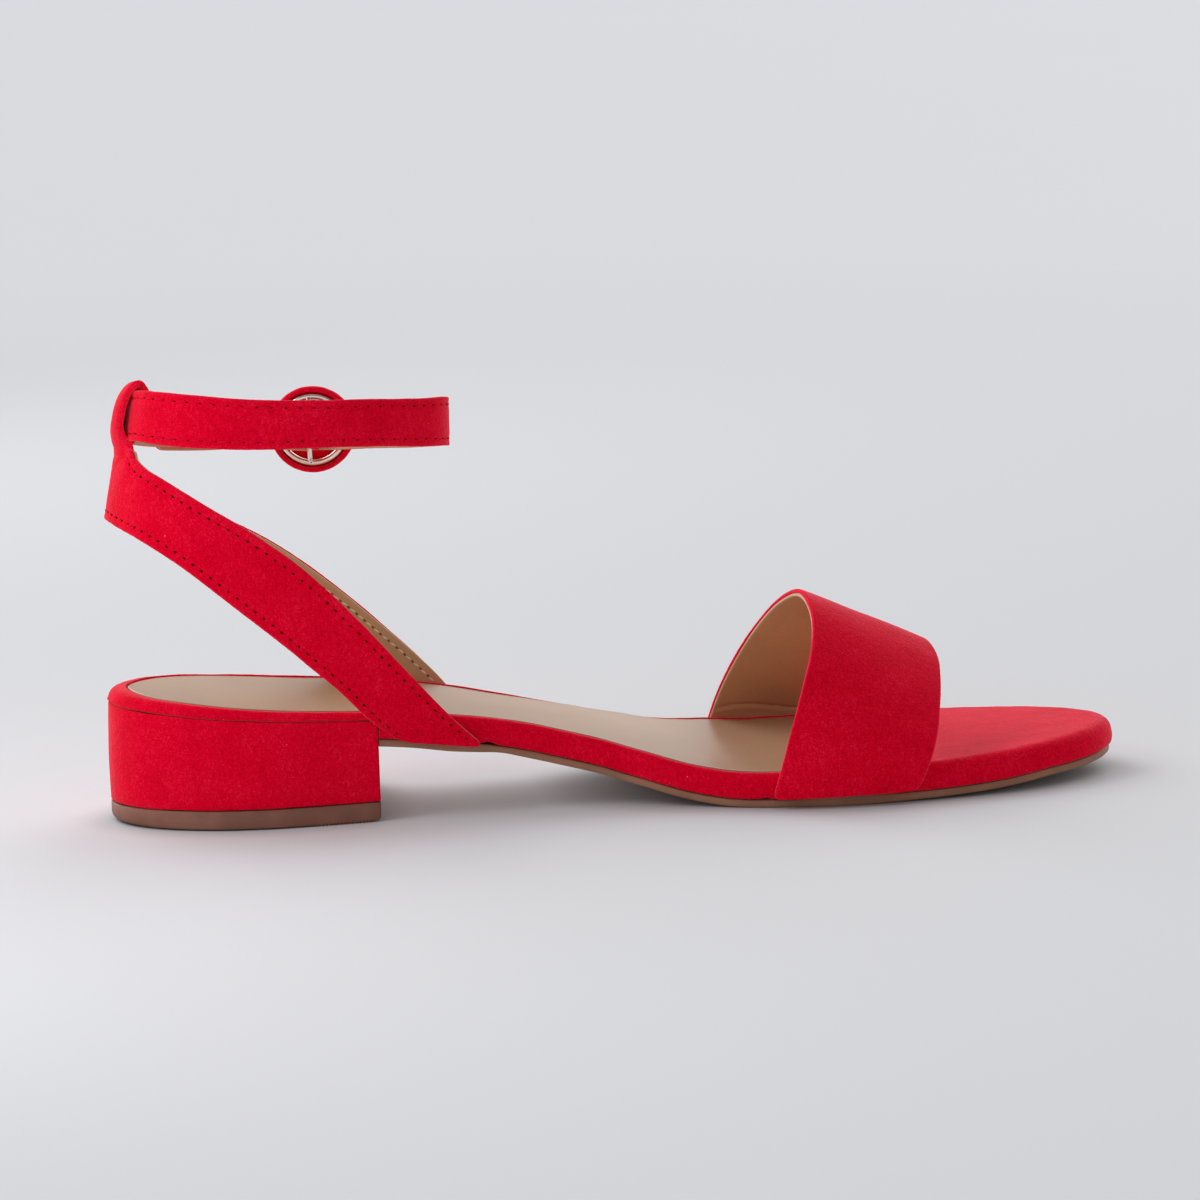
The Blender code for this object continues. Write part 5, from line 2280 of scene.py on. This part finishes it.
@dataclass
class Studio:
    """Pale floor, soft light and the camera at the photograph's angle."""

    turn: float = math.radians(5.97)
    tilt: float = math.radians(8.94)
    roll: float = math.radians(2.21)
    distance: float = 1.426
    target: tuple[float, float, float] = (0.123, 0.0, 0.048)
    sensor: float = 36.0
    view_width: float = 0.2982
    view_reach: float = 50.0
    floor_size: float = 14.0
    glows: Sequence[Glow] = (
        Glow((0.0, 0.0, 1.0), 0.75, 0.36),
        Glow((-0.6, 0.65, 0.45), 0.8, 3.05),
        Glow((0.0, 0.85, 0.5), 0.8, 0.82),
        Glow((0.6, 0.65, 0.45), 0.8, 2.8),
        Glow((1.0, -0.2, 0.06), 0.75, 1.07),
        Glow((0.0, -1.0, 0.06), 0.75, 0.54),
        Glow((-0.75, -0.65, 0.06), 0.75, 0.72),
        Glow((0.0, -1.0, 0.35), 0.2, 0.11),
    )
    lamps: Sequence[Lamp] = (
        Lamp("back_softbox", (-0.35, 0.7, 0.4), 0.4, 0.71),
        Lamp("left_softbox", (-0.32, -0.12, 0.28), 0.2, 0.42),
        Lamp("heel_softbox", (-0.3, -0.2, 0.07), 0.15, 0.05),
    )

    def build(self, shift: Points) -> None:
        """Make the floor, the light and the camera.

        Args:
            shift: where the tables' zero lies.
        """
        self.floor()
        self.world()
        for lamp in self.lamps:
            self.softbox(lamp)
        self.camera(shift)

    def floor(self) -> None:
        """A plain pale floor, far wider than the view, whose finish paints a faint glow of fill light and
        the shoe's contact shadow.
        """
        half = self.floor_size / 2
        mesh = bpy.data.meshes.new("floor")
        corners = [(-half, -half, 0.0), (half, -half, 0.0), (half, half, 0.0), (-half, half, 0.0)]
        mesh.from_pydata(corners, [], [(0, 1, 2, 3)])
        mesh.materials.append(PALE_FLOOR.material())
        floor = placed("floor", mesh)
        floor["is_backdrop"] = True

    def world(self) -> None:
        """Soft light from the sides and the back."""
        world = bpy.data.worlds.new("studio")
        bpy.context.scene.world = world
        world.use_nodes = True
        graph = Graph(world.node_tree)
        light = sum(
            glow.strength * self.along(graph, Vector(glow.toward).normalized()).ramp(glow.begin, 1.0)
            for glow in self.glows
        )
        colour = graph.node("ShaderNodeCombineColor", {}, {0: light, 1: light, 2: light})
        background = world.node_tree.nodes["Background"]
        graph.tree.links.new(colour.outputs[0], background.inputs["Color"])
        background.inputs["Strength"].default_value = 1.0

    @staticmethod
    def softbox(lamp: Lamp) -> None:
        """Hang one lamp, turned to the shoe.

        Args:
            lamp: its place, size and power.
        """
        light = bpy.data.lights.new(lamp.name, "AREA")
        light.shape = "DISK"
        light.size = lamp.size
        light.energy = lamp.power
        holder = placed(lamp.name, light)
        holder.location = lamp.place
        holder.rotation_mode = "QUATERNION"
        holder.rotation_quaternion = (-holder.location).to_track_quat("-Z", "Y")

    @staticmethod
    def along(graph: Graph, direction: Sequence[float]) -> Value:
        """How far the direction looked in points along another.

        Args:
            graph: the world's graph.
            direction: of length one.

        Returns:
            1 where they are the same, -1 where they are opposite.
        """
        place = graph.node("ShaderNodeTexCoord", {}, {})
        facing = graph.node(
            "ShaderNodeVectorMath",
            {"operation": "DOT_PRODUCT"},
            {0: place.outputs["Generated"], 1: tuple(direction)},
        )
        return Value(graph, facing.outputs["Value"])

    def camera(self, shift: Points) -> None:
        """The camera, turned, tilted and rolled as the photograph's.

        Args:
            shift: where the tables' zero lies.
        """
        sine, cosine = math.sin, math.cos
        ahead = Vector((
            sine(self.turn) * cosine(self.tilt), cosine(self.turn) * cosine(self.tilt), -sine(self.tilt)
        ))
        right = Vector((cosine(self.turn), -sine(self.turn), 0.0))
        up = right.cross(ahead)
        rolled_right = right * cosine(self.roll) - up * sine(self.roll)
        rolled_up = right * sine(self.roll) + up * cosine(self.roll)
        lens = bpy.data.cameras.new("camera")
        lens.sensor_width = self.sensor
        lens.lens = self.sensor * self.distance / self.view_width
        lens.clip_end = self.view_reach
        camera = placed("camera", lens)
        pose = Matrix((rolled_right, rolled_up, -ahead)).transposed().to_4x4()
        pose.translation = Vector(self.target) + Vector(shift) - ahead * self.distance
        camera.matrix_world = pose
        bpy.context.scene.camera = camera
        bpy.context.scene.view_settings.view_transform = "Standard"


def table_shift(shape: SoleShape) -> Points:
    """Where the tables' zero lies in the part's frame, read off the midsole's box.

    Args:
        shape: the sole's outline.

    Returns:
        What is added to a table's point.
    """
    low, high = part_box("midsole")
    outer = shape.outline(np.linspace(0.0, math.pi, OUTLINE_SAMPLES), Side.OUTER, 0.0)[:, 1].max()
    return np.array([low.x, high.y - outer, 0.0])


def corners() -> list[list[float]]:
    """Lowest and highest corner of what is shown."""
    return [list(corner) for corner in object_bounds()]


def main() -> None:
    """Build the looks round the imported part."""
    logging.basicConfig(level=logging.INFO, format="%(message)s")
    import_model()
    shape = SoleShape()
    bench = Bench(table_shift(shape))
    strap = AnkleStrap(bench)
    Studio().build(bench.shift)
    for assembly in (
        Sole(bench, shape),
        Heel(bench, shape),
        VampBand(bench),
        HeelSling(bench),
        strap,
        Buckle(bench, strap),
    ):
        assembly.build()
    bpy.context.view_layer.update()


if __name__ == "__main__":
    main()
